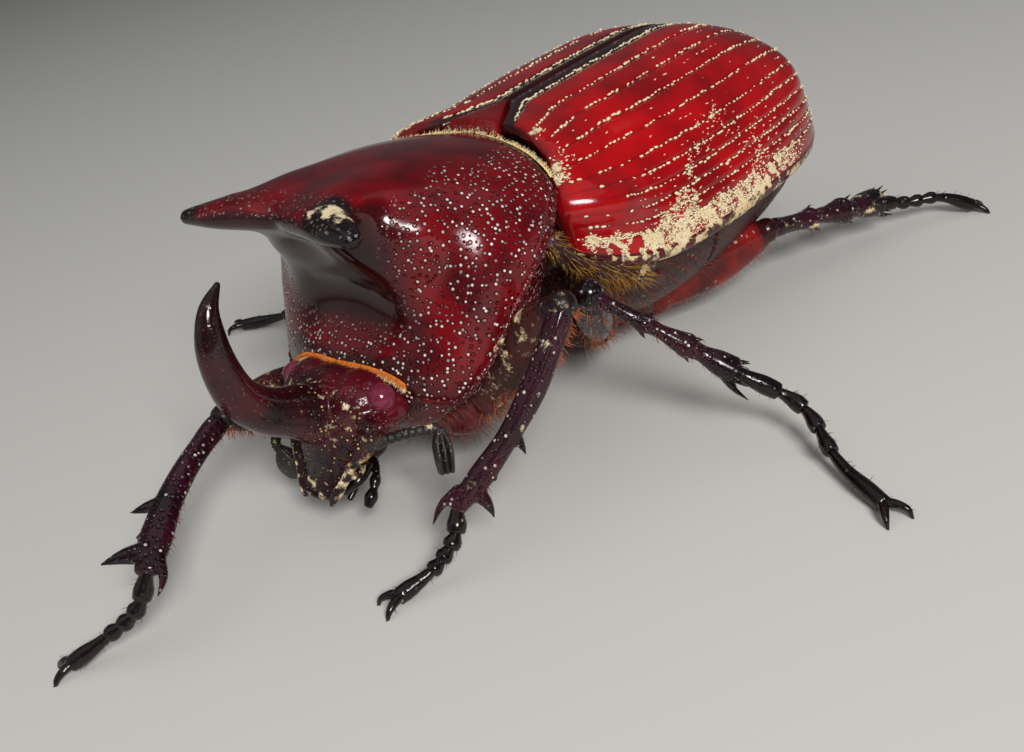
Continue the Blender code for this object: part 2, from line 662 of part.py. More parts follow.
def leg(name, hip, knee, route):
    """Femur, tibia and tarsus of one leg."""
    hip = Vector(hip)
    knee = Vector(knee)
    ankle = Vector(route[0])
    pair = name.split("_")[0]
    thigh_stout, shin_stout = STOUT[pair]
    thigh = femur("femur_" + name, hip, knee, thigh_stout)
    if pair == "front":
        left = name.endswith("left")
        outward = Vector(TEETH_LEFT if left else TEETH_RIGHT)
        shin = front_tibia("tibia_" + name, knee, ankle, outward, TEETH_WORN if left else 1)
    else:
        shin = walking_tibia("tibia_" + name, knee, ankle, shin_stout)
    return thigh, shin, tarsus("tarsus_" + name, route)


def finish(body, slot):
    """Give a node its material, in its own linear colour."""
    colour, roughness = FINISHES[slot]
    material = bpy.data.materials.get(slot) or bpy.data.materials.new(slot)
    material.use_nodes = True
    shader = material.node_tree.nodes["Principled BSDF"]
    shader.inputs["Base Color"].default_value = (*colour, 1)
    shader.inputs["Roughness"].default_value = roughness
    shader.inputs["Metallic"].default_value = 0.0
    body.data.materials.clear()
    body.data.materials.append(material)


def flatten_sole(bm):
    """Cut a foot off level at the floor, so that it stands on small flats."""
    geometry = bm.verts[:] + bm.edges[:] + bm.faces[:]
    cut = bmesh.ops.bisect_plane(bm, geom=geometry, plane_co=(0, 0, 0), plane_no=(0, 0, -1),
                                 clear_outer=True)
    rim = [item for item in cut["geom_cut"] if isinstance(item, bmesh.types.BMEdge)]
    bmesh.ops.edgeloop_fill(bm, edges=rim)
    bmesh.ops.triangulate(bm, faces=bm.faces[:])


def stand(bodies):
    """Put the bodies on the floor, centre them over the origin and turn them to metres."""
    points = [vert.co for body in bodies for vert in body.data.vertices]
    middle = [(min(p[axis] for p in points) + max(p[axis] for p in points)) / 2 for axis in (0, 1)]
    move = Matrix.Translation((-middle[0], -middle[1], MARGIN_HEIGHT))
    for body in bodies:
        bm = bmesh.new()
        bm.from_mesh(body.data)
        bmesh.ops.transform(bm, matrix=move, verts=bm.verts)
        if body.name.startswith("tarsus"):
            flatten_sole(bm)
        bmesh.ops.scale(bm, vec=(MM,) * 3, verts=bm.verts)
        bmesh.ops.recalc_face_normals(bm, faces=bm.faces[:])
        bm.to_mesh(body.data)
        bm.free()
        body.data.shade_smooth()
        body.data.set_sharp_from_angle(angle=math.radians(40))


def build():
    """Make every node, cut each clear of what it grows from, and stand the animal up."""
    for item in list(bpy.data.objects):
        bpy.data.objects.remove(item)
    slots = {}

    skull = head()
    shield = cut_clear(prothorax(), skull)
    fork = cut_clear(pronotum_horn(), shield)
    slots[shield] = "pronotum"
    slots[fork] = "pronotum"
    spur = limb("head_horn", [((0, y, z), r, r * 0.9) for y, z, r in HORN_STATIONS], 12,
                Vector((1, 0, 0)))
    slots[cut_clear(spur, skull)] = "horn"
    slots[cut_clear(mouthparts(), skull)] = "antenna"
    for side in (-1, 1):
        slots[cut_clear(antenna(side), skull)] = "antenna"
    for side in (-1, 1):
        bulb = eye(side)
        skull = cut_clear(skull, bulb)
        slots[bulb] = "eye"
    slots[skull] = "head"

    chest = cut_clear(trunk(), shield)
    slots[chest] = "underside"
    belly = abdomen()
    slots[belly] = "underside"
    slots[scutellum()] = "elytra"
    slots[wing_case("elytron_left", 1)] = "elytra"
    slots[wing_case("elytron_right", -1)] = "elytra"

    for name, (hip, knee, route) in LEGS.items():
        thigh, shin, foot = leg(name, hip, knee, route)
        roots = {"front": (shield,), "middle": (chest, shield), "hind": (chest, belly)}
        thigh = cut_clear(thigh, *roots[name.split("_")[0]])
        shin = cut_clear(shin, thigh)
        foot = cut_clear(foot, shin)
        slots[thigh] = "leg"
        slots[shin] = "leg"
        slots[foot] = "tarsus"

    group = bpy.data.collections.new("coelosis")
    bpy.context.scene.collection.children.link(group)
    stand(slots)
    for body, slot in slots.items():
        finish(body, slot)
        bpy.context.scene.collection.objects.unlink(body)
        group.objects.link(body)


build()
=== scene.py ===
"""Male Coelosis rhinoceros beetle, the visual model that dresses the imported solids.

Shapes are worked out in millimetres in the body's own frame: the beetle faces -Y, its left
side is +X, y = 0 is the joint between pronotum and wing cases, and z = 0 is the level of the
wing-case margins. metres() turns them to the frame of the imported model.
"""

import math

import bmesh
import bpy
import numpy as np
from bpy.props import FloatProperty, FloatVectorProperty, PointerProperty
from mathutils import Matrix, Vector


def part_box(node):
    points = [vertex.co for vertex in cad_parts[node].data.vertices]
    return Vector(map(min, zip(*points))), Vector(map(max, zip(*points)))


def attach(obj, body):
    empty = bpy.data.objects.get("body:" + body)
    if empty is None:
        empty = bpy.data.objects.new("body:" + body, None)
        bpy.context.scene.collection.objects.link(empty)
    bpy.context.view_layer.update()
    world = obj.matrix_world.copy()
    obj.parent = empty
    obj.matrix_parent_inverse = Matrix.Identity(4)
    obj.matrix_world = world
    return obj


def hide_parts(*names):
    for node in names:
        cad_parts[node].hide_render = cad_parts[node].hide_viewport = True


bl_info = {
    "name": "Coelosis beetle",
    "version": (1, 0, 0),
    "blender": (4, 5, 0),
    "location": "View3D > Sidebar > Coelosis",
    "description": "Dresses the packed solids of a male rhinoceros beetle",
    "category": "Object",
}

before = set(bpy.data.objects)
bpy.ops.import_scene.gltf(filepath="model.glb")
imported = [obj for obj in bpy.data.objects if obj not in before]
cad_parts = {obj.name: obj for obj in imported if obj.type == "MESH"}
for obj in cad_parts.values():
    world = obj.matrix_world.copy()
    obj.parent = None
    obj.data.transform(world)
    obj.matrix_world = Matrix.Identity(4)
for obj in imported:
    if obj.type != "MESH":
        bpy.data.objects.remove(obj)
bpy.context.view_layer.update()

MM = 0.001
SEED = 7
SIDES = {"left": 1, "right": -1}
# Smooth noise: how many waves are added up, and what their sum is divided by
WAVES = 9
WAVE_SUM = 3.6
# Rings that round off the ends of a tube, in degrees
CAP_ANGLES = (72, 54, 36, 18)
# Points closer than this are one
SAME = 0.002
# Height of the wing-case margins over the floor
MARGIN_HEIGHT = 8.2
# How far bristles stray from their common direction, and how deep they are rooted
HAIR_SPREAD = 0.22
ROOT_SINK = 0.05
# Reach of the body's unwrap ahead of y = 0, and its whole length
BODY_START = 32
BODY_SPAN = 64
# Hairs in a fringe, and the steps round the section that they stand on
FRINGE_HAIRS = 900
EDGE_STEPS = 720

# Black of the shell's edges and tips, also laid on as painted shade, and the two tones of dried mud on it
BLACK = "#0d0608"
MUD_LIGHT = "#faeecb"
MUD_DEEP = "#cda566"
# Bristles of each kind on one piece
HAIRS = {"chest": 1500, "shoulder_gap": 2600, "breast": 900, "front_thigh": 420, "thigh": 90,
         "shin": 90, "foot": 60, "cheek": 160}
# Mud dashes in the lines of punctures: step, step beside the suture, thickness, share that stays
DASHES = (0.36, 0.3, 0.145, 0.98)
# Finer dashes between the lines: step, thickness, share that stays
SMALL_DASHES = (0.5, 0.075, 0.4)
# Places tried for the loose crumbs of mud on a wing case, and how many crumbs stay at most
CRUMB_TRIES = 60000
CRUMBS = 2800

# Wing cases
CASE_LENGTH = 25.6
CASE_HALF_WIDTH = 10.3
CASE_WIDEST_Y = 11.7
CASE_TOP = 8.1
CASE_TOP_Y = 15.0
CASE_BASE_TOP = 7.75
CASE_WALL = 0.7
# How the sides narrow to the shoulders: a length and a power
SHOULDER_FALL = (20.7, 2.6)
# How plan and top line round off at the tip: sharpness and fullness
PLAN_FALL = (2.9, 2.35)
TOP_FALL = (2.2, 2.0)
# Powers of the cross-section: flat on top where the first is low, steep-sided
SECTION_SIDE = 0.68
SECTION_TOP = 1.12
# Rise of the side margin at the shoulder and at the tip: height, start, length
MARGIN_SHOULDER = (1.1, 5.0, 5.0)
MARGIN_TIP = (0.5, 18.0, 7.0)
# Knobs of a wing case: height, place along y, reach, place across, reach
SHOULDER_KNOB = (0.95, 0.5, 2.2, 0.71, 0.12)
TIP_KNOB = (0.35, 20.5, 1.8, 0.55, 0.16)
# Rounding of the base edge: length along y and depth
BASE_ROUND = (1.6, 0.6)
# Forward bulge of the base edge at the shoulder: reach, place across, spread
SHOULDER_BULGE = (0.5, 0.7, 0.16)
# Turned-under border of a wing case: drop and width
BORDER = (0.55, 0.5)
# Rows of points along a wing case
CASE_ROWS = 210
# Gap between the wing cases, and between them and the body
GAP = 0.3
SUTURE = GAP / 2
# Places of the punctured lines across a wing case, from suture to margin
STRIAE = (0.022, 0.12, 0.225, 0.335, 0.44, 0.545, 0.62, 0.69, 0.755, 0.815, 0.88)
SCUTELLUM_HALF_WIDTH = 2.3
SCUTELLUM_LENGTH = 3.7

# Prothorax: margin line as (y, x, z), top line and sternum line as (y, z)
PRONOTUM_LENGTH = 12.4
PRONOTUM_MARGIN = [(0.0, 6.9, 5.5), (-2.2, 7.8, 4.4), (-5.0, 8.2, 3.1), (-7.2, 8.0, 1.7),
                   (-9.6, 7.2, -0.6), (-11.6, 5.7, -1.8), (-12.4, 4.2, -1.4)]
PRONOTUM_TOP = [(0.0, 7.4), (-3.0, 8.2), (-6.0, 8.7), (-8.6, 8.3), (-9.6, 6.2), (-10.3, 3.9),
                (-11.3, 1.7), (-12.4, 0.1)]
PROSTERNUM = [(0.0, -2.4), (-3.0, -4.2), (-7.5, -5.4), (-10.0, -4.7), (-11.6, -3.9), (-12.4, -2.8)]
BASE_BOW = -1.8
FRONT_BOW = 0.6
BOW_POWER = 1.3

# Fringes at the front and the base of the pronotum: place along y, first and last angle
FRONT_EDGE = (-12.33, 0.42, math.pi - 0.3)
BASE_EDGE = (-0.1, 0.25, math.pi - 0.25)

# Horn of the pronotum: stem, then one of its two lobes, as (x, y, z, half width, half thickness)
STEM = [(0.0, -3.6, 6.6, 2.6, 1.0), (0.0, -5.4, 6.9, 3.3, 1.3), (0.0, -8.6, 7.4, 3.8, 1.4),
        (0.0, -10.8, 7.7, 3.7, 1.15), (0.0, -12.7, 7.9, 2.8, 0.7)]
LOBE = [(0.6, -12.0, 8.0, 1.5, 1.0), (2.4, -12.6, 8.1, 1.35, 0.95), (4.3, -13.4, 8.05, 1.0, 0.68),
        (6.0, -13.98, 8.0, 0.5, 0.38)]
# Bridge that leads the top smoothly from the stem into a lobe
BRIDGE = [(1.6, -7.6, 7.5, 1.9, 1.2), (2.4, -10.2, 8.0, 1.9, 1.2), (2.9, -11.8, 8.1, 1.5, 1.0)]
# Filling across the angle between stem and front face
GUSSET = [(-3.6, -10.4, 5.6, 1.3, 1.4), (0.0, -10.3, 5.7, 1.4, 1.6), (3.6, -10.4, 5.6, 1.3, 1.4)]
# Web under each lobe's root, as (x, y, z, half width, half thickness)
WEB = [(1.8, -12.0, 7.2, 1.0, 0.9), (2.6, -11.1, 6.3, 1.3, 1.1), (3.4, -10.2, 4.9, 1.3, 1.1),
       (4.0, -9.7, 3.2, 1.0, 0.8)]

# Swelling beside the horn's root and front coxa, on the left, as centre and radii
PRONOTUM_SWELLINGS = (((4.5, -9.2, 6.3), (1.7, 2.0, 1.5)), ((3.4, -8.0, -3.9), (1.9, 2.0, 1.8)))
# Rounds of smoothing where the horn runs into the pronotum
EASE_ROUNDS = 420

# Head, its horn, eye and feelers
CAPSULE = [(0.0, -10.4, -1.4, 2.8, 1.3), (0.0, -12.0, -1.7, 3.4, 1.8), (0.0, -13.2, -2.6, 3.3, 1.85),
           (0.0, -14.0, -3.8, 2.4, 1.4), (0.0, -14.8, -4.9, 1.7, 0.9), (0.0, -15.5, -5.6, 1.35, 0.45)]
HEAD_HORN = [(0.0, -12.9, -2.3, 1.9, 1.7), (0.0, -14.0, -1.9, 1.75, 1.5), (0.0, -15.3, -1.1, 1.4, 1.25),
             (0.0, -17.2, 0.15, 1.12, 1.08), (0.0, -18.1, 1.3, 1.02, 1.0), (0.0, -18.5, 2.9, 0.9, 0.88),
             (0.0, -18.45, 4.6, 0.72, 0.72), (0.0, -18.0, 5.9, 0.45, 0.45), (0.0, -17.2, 6.7, 0.14, 0.16)]
# Back of the head as centre and radii
SKULL = ((0, -12.8, -1.5), (2.6, 2.0, 1.6))
# Side ridge of the clypeus, brow plate and the swellings of the head's left side
CLYPEUS_RIDGE = [(2.75, -14.0, -2.5, 0.42, 0.36), (2.3, -14.6, -3.5, 0.32, 0.3),
                 (1.7, -15.2, -4.7, 0.28, 0.27), (1.2, -15.7, -5.55, 0.28, 0.26),
                 (1.0, -15.95, -5.95, 0.16, 0.15)]
BROW = [(2.3, -13.2, -1.3, 0.5, 0.4), (3.3, -13.75, -1.75, 0.75, 0.3), (4.0, -13.7, -1.95, 0.4, 0.22)]
HEAD_SWELLINGS = (((3.2, -13.8, -2.4), (0.75, 0.7, 0.5)), ((1.6, -14.5, -4.7), (0.5, 0.7, 0.4)),
                  ((3.0, -12.3, -1.9), (0.9, 1.1, 0.9)), ((1.7, -12.7, -1.5), (1.75, 1.9, 1.55)))
# Lip of the clypeus and the low ridge across the crown
LIP = [(-1.3, -15.6, -5.55, 0.3, 0.2), (0, -15.75, -5.7, 0.34, 0.2), (1.3, -15.6, -5.55, 0.3, 0.2)]
CROWN_RIDGE = [(-2.5, -13.7, -0.75, 0.14, 0.12), (0, -13.95, -0.2, 0.15, 0.13),
               (2.5, -13.7, -0.75, 0.14, 0.12)]
EYE_PLACE = (3.2, -12.8, -1.05)
EYE_RADIUS = 0.72
# Stalk of each feeler, and the two ends of its club; the right one is mirrored later
FEELERS = {
    1: ([(3.0, -14.3, -2.9, 0.4, 0.4), (4.0, -13.85, -2.6, 0.3, 0.3), (5.2, -13.1, -2.35, 0.26, 0.26),
         (6.35, -12.35, -2.25, 0.26, 0.26)], ((6.3, -12.35, -2.35), (6.65, -12.95, -4.55))),
    -1: ([(3.0, -14.3, -2.9, 0.4, 0.4), (3.5, -14.8, -3.5, 0.3, 0.3), (3.8, -14.95, -4.2, 0.26, 0.26),
          (3.8, -14.85, -4.6, 0.26, 0.26)], ((3.8, -14.8, -4.5), (3.55, -14.35, -6.5))),
}
# Places along the stalk where its joints part
FEELER_STOPS = (0.0, 0.33, 0.42, 0.51, 0.6, 0.69, 0.78, 0.87, 0.97)
# Leaf of the club: part of the way, half width, half thickness, share of its sideways shift
LEAF = ((0.0, 0.2, 0.12, 0.3), (0.28, 0.52, 0.17, 1.0), (0.7, 0.66, 0.18, 1.0), (0.9, 0.5, 0.16, 0.9))
# Lower lip as two balls, one before the other: centre, radii, mesh of each
LOWER_LIP = (((0, -12.6, -4.6), (1.6, 1.6, 1.0), 36, 20), ((0, -13.9, -5.3), (0.8, 0.9, 0.4), 24, 14))
# Jaw, the joints of the long palp with their thickness, and the short palp
JAW = [(1.4, -13.6, -4.9, 0.5, 0.4), (1.6, -14.5, -5.2, 0.45, 0.32), (1.3, -15.2, -5.6, 0.2, 0.18)]
PALP = [(1.0, -12.8, -4.9), (2.0, -13.5, -5.3), (2.25, -14.1, -5.8), (2.3, -14.75, -6.4)]
PALP_THICKNESS = (0.27, 0.29, 0.34)
SHORT_PALP = [(0.5, -13.6, -5.8, 0.16, 0.16), (0.75, -14.2, -6.2, 0.2, 0.2),
              (0.8, -14.7, -6.5, 0.15, 0.15)]

# Mesh size of the chest
CHEST_GRAIN = 0.2
# Neck between the chest and the pronotum
NECK = [(0, 1.5, 1.3, 4.8, 2.4), (0, -1.4, 1.3, 4.4, 2.1)]
# Coxae of the middle and hind legs, the fold beside the neck and the seam along the chest, on the left
COXAE = (((3.3, 2.6, -4.8), (2.1, 1.7, 1.5)), ((3.2, 6.2, -5.1), (2.4, 1.6, 1.4)))
NECK_FOLD = [(6.3, -2.3, 2.9, 0.7, 0.5), (7.0, -1.2, 1.6, 0.9, 0.55), (7.9, 1.2, 0.1, 0.9, 0.6),
             (8.3, 3.6, -0.5, 0.6, 0.5)]
CHEST_SEAM = [(8.6, 1.2, -0.8, 0.25, 0.2), (8.2, 4.2, -1.9, 0.3, 0.22), (7.6, 7.6, -2.6, 0.25, 0.2)]
# Belly plates, one behind the other
BELLY_PLATES = 6
# Belly depth under the wing-case margin as (y, depth)
BELLY = [(0.4, 4.4), (4.0, 5.6), (8.4, 5.8), (16.0, 5.0), (22.0, 3.2), (25.2, 1.2)]

# Legs: hip, knee, then the foot's route from ankle to tip
LEGS = {
    "front_left": ((4.4, -8.2, -3.7), (10.7, -7.0, 2.25),
                   ((8.3, -14.2, -5.05), (8.55, -15.0, -6.1), (8.25, -16.0, -6.95),
                    (7.25, -18.2, -7.8))),
    "middle_left": ((4.5, 2.2, -4.6), (9.6, -3.9, 1.1),
                    ((15.1, -0.7, -3.9), (18.0, 0.5, -6.1), (20.75, -1.5, -7.3),
                     (23.9, -3.25, -7.8))),
    "hind_left": ((4.2, 6.8, -5.5), (8.8, 14.4, -3.65),
                  ((11.2, 23.7, -5.6), (12.4, 25.9, -6.4), (13.9, 27.9, -6.75),
                   (15.6, 29.3, -7.8))),
    "front_right": ((-4.9, -8.5, -3.6), (-5.5, -16.4, -2.1),
                    ((-1.0, -24.9, -4.1), (-1.3, -25.8, -5.6), (-2.7, -27.3, -6.9),
                     (-3.95, -28.85, -7.8))),
    "middle_right": ((-4.5, 2.2, -4.6), (-10.4, -3.2, 0.4),
                     ((-17.2, -0.8, -4.3), (-20.4, 0.2, -6.4), (-23.1, 0.0, -7.4),
                      (-26.0, -1.5, -7.8))),
    "hind_right": ((-4.2, 6.8, -5.5), (-9.3, 14.0, -3.8),
                   ((-12.9, 22.9, -5.7), (-14.3, 25.0, -6.6), (-15.8, 26.9, -7.0),
                    (-17.6, 28.7, -7.8))),
}
# Thickness of thigh and walking shin for each pair
STOUT = {"front": (0.95, 0.95), "middle": (1.0, 0.88), "hind": (1.0, 1.2)}
# Directions in which the teeth of the front shins point
TEETH_LEFT = (0.7, 0.2, -0.65)
TEETH_RIGHT = (-0.85, -0.5, 0.2)
# Size of the left front shin's worn teeth beside the right one's
TEETH_WORN = 0.74

# Forms of thigh and shins as (part of the way, half width, half thickness)
THIGH_FORM = ((-0.02, 0.9, 0.8), (0.14, 1.15, 0.85), (0.35, 1.5, 1.0), (0.6, 1.6, 1.05),
              (0.82, 1.25, 0.9), (0.93, 0.95, 0.78), (0.99, 0.62, 0.6))
FRONT_SHIN_FORM = ((0.0, 0.5, 0.5), (0.06, 0.62, 0.56), (0.2, 0.6, 0.54), (0.4, 0.64, 0.54),
                   (0.62, 0.72, 0.5), (0.86, 0.8, 0.46), (1.0, 0.6, 0.4))
SHIN_FORM = ((0.0, 0.42, 0.42), (0.05, 0.52, 0.5), (0.14, 0.47, 0.45), (0.34, 0.56, 0.52),
             (0.385, 0.66, 0.6), (0.42, 0.5, 0.48), (0.62, 0.66, 0.6), (0.69, 0.78, 0.7),
             (0.73, 0.58, 0.54), (0.9, 0.78, 0.7), (1.0, 0.86, 0.78))
# Bow of a front shin towards its teeth
SHIN_BOW = 0.6
# Teeth of a front shin: part of the way down, reach, lean to the foot, radius
TEETH = ((0.6, 1.75, 0.45, 0.55), (0.8, 0.9, 0.3, 0.45), (0.9, 1.85, 0.5, 0.6))
# Crests of a walking shin: part of the way down, reach of the spines, how many
CRESTS = ((0.375, 0.5, 6), (0.68, 0.6, 7), (0.985, 0.7, 11))
# Joints of a foot as (share of its length, thickness); each flares as (part, share of thickness)
FOOT_JOINTS = ((0.22, 0.5), (0.14, 0.46), (0.13, 0.44), (0.13, 0.43), (0.38, 0.45))
JOINT_FLARE = ((0.02, 0.55), (0.3, 0.72), (0.7, 0.96), (0.94, 0.9))
# Mud on the thighs of each pair, and their materials
THIGH_MUD = {"front": 0.42, "middle": 0.3, "hind": 0.16}
THIGH_LOOK = {"front": "coelosis underside", "middle": "coelosis leg", "hind": "coelosis red thigh"}

# Photo's camera in the body's frame: place, right, up and back vectors, and lens
CAMERA_PLACE = (42.16, -41.54, 24.22)
CAMERA_RIGHT = (0.7531, 0.6269, -0.1997)
CAMERA_UP = (-0.1741, 0.4826, 0.8584)
CAMERA_BACK = (0.6345, -0.6117, 0.4726)
CAMERA_LENS = 39.8
CAMERA_SENSOR = 36.0
# Lamps as name, place in the body's frame, size in metres and watts; the key stands for the flash
LAMPS = (("key", (194, -115, 152), 0.08, 0.62), ("top", (10, -20, 270), 0.4, 0.16),
         ("fill", (-110, -170, 120), 0.25, 0.05))
LAMP_TARGET = (0, 2, 0)
SKY = "#e9edf2"
SKY_STRENGTH = 0.11
FLOOR_REACH = 3


def linear(colour):
    """Linear red, green, blue and alpha of an sRGB hex colour."""
    parts = [int(colour[i:i + 2], 16) / 255 for i in (1, 3, 5)]
    turned = [part / 12.92 if part <= 0.04045 else ((part + 0.055) / 1.055) ** 2.4 for part in parts]
    return (*turned, 1.0)


def body_offset():
    """Body frame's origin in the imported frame, in millimetres, from the wing cases' boxes."""
    left_low, left_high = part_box("elytron_left")
    right_low, right_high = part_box("elytron_right")
    midline = (left_low.x + right_high.x) / 2 / MM
    return np.array((midline, left_high.y / MM - CASE_LENGTH, MARGIN_HEIGHT))


OFFSET = body_offset()


def metres(points):
    """Points of the body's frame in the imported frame."""
    return (np.asarray(points, float).reshape(-1, 3) + OFFSET) * MM


def make_object(name, points, faces, placed=True):
    """New smooth object from points in body millimetres, or in metres where not placed."""
    mesh = bpy.data.meshes.new(name)
    coordinates = metres(points) if placed else np.asarray(points, float)
    mesh.from_pydata(coordinates.tolist(), [], faces)
    mesh.shade_smooth()
    made = bpy.data.objects.new(name, mesh)
    bpy.context.scene.collection.objects.link(made)
    return made


def turn_outwards(obj, weld=True):
    """Turn the faces of a closed mesh outwards, its doubled points merged where weld is set."""
    bm = bmesh.new()
    bm.from_mesh(obj.data)
    if weld:
        bmesh.ops.remove_doubles(bm, verts=bm.verts, dist=SAME * MM)
    bmesh.ops.recalc_face_normals(bm, faces=bm.faces[:])
    bm.to_mesh(obj.data)
    bm.free()
    obj.data.shade_smooth()


def plain(name, source):
    """Evaluated mesh of an object as a new plain object; the source goes."""
    graph = bpy.context.evaluated_depsgraph_get()
    mesh = bpy.data.meshes.new_from_object(source.evaluated_get(graph), depsgraph=graph)
    bpy.data.objects.remove(source)
    mesh.name = name
    made = bpy.data.objects.new(name, mesh)
    bpy.context.scene.collection.objects.link(made)
    mesh.shade_smooth()
    return made


def on_curve(rows, slopes, index, span, u):
    """Values at part u of the spans that start at index, on a curve with given slopes."""
    return ((2 * u ** 3 - 3 * u ** 2 + 1) * rows[index]
            + (u ** 3 - 2 * u ** 2 + u) * span * slopes[index]
            + (3 * u ** 2 - 2 * u ** 3) * rows[index + 1]
            + (u ** 3 - u ** 2) * span * slopes[index + 1])


def through(stations, count):
    """Rows of numbers on a smooth curve through the stations, evenly spaced along it."""
    rows = np.array(stations, float)
    steps = np.linalg.norm(np.diff(rows[:, :3], axis=0), axis=1)
    places = np.concatenate(([0.0], np.cumsum(steps)))
    slopes = np.gradient(rows, places, axis=0)
    wanted = np.linspace(0, places[-1], count)
    index = np.clip(np.searchsorted(places, wanted, side="right") - 1, 0, len(places) - 2)
    span = (places[index + 1] - places[index])[:, None]
    u = (wanted - places[index])[:, None] / span
    return on_curve(rows, slopes, index, span, u)


def profile(points, places):
    """Smooth values at places along points whose first number rises or falls steadily."""
    rows = np.array(points, float)
    if rows[0, 0] > rows[-1, 0]:
        rows = rows[::-1]
    slopes = np.gradient(rows[:, 1:], rows[:, 0], axis=0)
    wanted = np.clip(places, rows[0, 0], rows[-1, 0])
    index = np.clip(np.searchsorted(rows[:, 0], wanted, side="right") - 1, 0, len(rows) - 2)
    span = (rows[index + 1, 0] - rows[index, 0])[..., None]
    u = (wanted - rows[index, 0])[..., None] / span
    value = on_curve(rows[:, 1:], slopes, index, span, u)
    return value[..., 0] if value.shape[-1] == 1 else value


def unit(vectors):
    """Vectors made one long."""
    vectors = np.asarray(vectors, float)
    return vectors / np.maximum(np.linalg.norm(vectors, axis=-1, keepdims=True), 1e-9)


def smoothstep(low, high, value):
    """0 below low, 1 above high, smooth between."""
    u = np.clip((value - low) / (high - low), 0, 1)
    return u * u * (3 - 2 * u)


def waves(points, size, seed):
    """Cheap smooth noise from -1 to 1 at points, with features of a size in millimetres."""
    rng = np.random.default_rng(seed)
    total = np.zeros(len(points))
    for _ in range(WAVES):
        direction = unit(rng.normal(size=3))
        total += np.sin(points @ direction * (2 * math.pi / size) * rng.uniform(0.6, 1.5)
                        + rng.uniform(0, 2 * math.pi))
    return total / WAVE_SUM


def grid_faces(rows, columns):
    """Four-cornered faces of a grid of points, closed round its columns."""
    i, j = np.meshgrid(np.arange(rows - 1), np.arange(columns), indexing="ij")
    k = (j + 1) % columns
    corners = np.stack((i * columns + j, i * columns + k, (i + 1) * columns + k,
                        (i + 1) * columns + j), axis=-1)
    return corners.reshape(-1, 4).tolist()


def closed_rings(ring, start, end):
    """Shape through rings of points with its two ends drawn to points."""
    rows, columns = ring.shape[:2]
    points = np.vstack((ring.reshape(-1, 3), start, end))
    faces = grid_faces(rows, columns)
    for k in range(columns):
        j = (k + 1) % columns
        faces.append([k, rows * columns, j])
        faces.append([(rows - 1) * columns + k, (rows - 1) * columns + j, rows * columns + 1])
    return points, faces


def tube(stations, sides=24, rings=36, flat=(0, 0, 1), ends=(0.6, 0.6), section=None):
    """Closed shape along stations (x, y, z, half width, half thickness), thin across flat.

    section(part, angle) gives a factor on the radius, for ridges and grooves.
    """
    rows = through(stations, rings)
    centres = rows[:, :3]
    tangent = unit(np.gradient(centres, axis=0))
    side = unit(np.cross(tangent, np.asarray(flat, float)))
    up = np.cross(side, tangent)
    wide = np.maximum(rows[:, 3], 0.01)
    thick = np.maximum(rows[:, 4], 0.01)
    cap = np.radians(CAP_ANGLES)
    first = centres[0] - tangent[0] * (np.sin(cap) * thick[0] * ends[0])[:, None]
    last = centres[-1] + tangent[-1] * (np.sin(cap[::-1]) * thick[-1] * ends[1])[:, None]
    centres = np.vstack((first, centres, last))
    wide = np.concatenate((wide[0] * np.cos(cap), wide, wide[-1] * np.cos(cap[::-1])))
    thick = np.concatenate((thick[0] * np.cos(cap), thick, thick[-1] * np.cos(cap[::-1])))
    side, up = (np.vstack((np.repeat(way[:1], len(cap), 0), way, np.repeat(way[-1:], len(cap), 0)))
                for way in (side, up))
    angle = 2 * math.pi * (np.arange(sides) + 0.5) / sides
    factor = np.ones((len(centres), sides))
    if section is not None:
        part = np.clip((np.arange(len(centres)) - len(cap)) / (rings - 1), 0, 1)
        factor = section(part[:, None], angle[None, :])
    ring = (centres[:, None] + side[:, None] * (wide[:, None] * np.cos(angle) * factor)[..., None]
            + up[:, None] * (thick[:, None] * np.sin(angle) * factor)[..., None])
    start = rows[0, :3] - tangent[0] * rows[0, 4] * ends[0]
    end = rows[-1, :3] + tangent[-1] * rows[-1, 4] * ends[1]
    return closed_rings(ring, start, end)


def ellipsoid(centre, radii, sides=24, rings=14):
    """Closed ball with a radius along each axis."""
    polar = math.pi * (np.arange(rings) + 0.5) / rings
    angle = 2 * math.pi * np.arange(sides) / sides
    local = np.stack((np.sin(polar)[:, None] * np.cos(angle), np.sin(polar)[:, None] * np.sin(angle),
                      np.repeat(np.cos(polar)[:, None], sides, 1)), axis=-1)
    points, faces = closed_rings(local, (0, 0, 1), (0, 0, -1))
    return np.asarray(centre, float) + points * np.asarray(radii, float), faces


def spine(root, tip, radius, bend=(0, 0, 0), sides=8, rings=7):
    """Tapered spine from a sunk root to its tip, bowed by a bend."""
    root = np.asarray(root, float)
    tip = np.asarray(tip, float)
    middle = (root + tip) / 2 + np.asarray(bend, float)
    stations = [(*root, radius, radius), (*middle, radius * 0.62, radius * 0.62),
                (*tip, radius * 0.1, radius * 0.1)]
    flat = (0, 0, 1) if abs(unit(tip - root)[2]) < 0.8 else (1, 0, 0)
    return tube(stations, sides, rings, flat)


def merge(shapes):
    """Several shapes as one set of points and faces."""
    points = []
    faces = []
    count = 0
    for some_points, some_faces in shapes:
        points.append(some_points)
        faces += [[index + count for index in face] for face in some_faces]
        count += len(some_points)
    return np.vstack(points), faces


def joined(name, shapes):
    """One object of overlapping closed shapes."""
    made = make_object(name, *merge(shapes))
    turn_outwards(made)
    return made


def fused(name, shapes, grain, rounds):
    """One closed skin over overlapping shapes, its joints smoothed to fillets."""
    rough = joined(name + " rough", shapes)
    skin = rough.modifiers.new("Skin", "REMESH")
    skin.mode = "VOXEL"
    skin.voxel_size = grain * MM
    soften = rough.modifiers.new("Soften", "SMOOTH")
    soften.factor = 0.5
    soften.iterations = rounds
    return plain(name, rough)


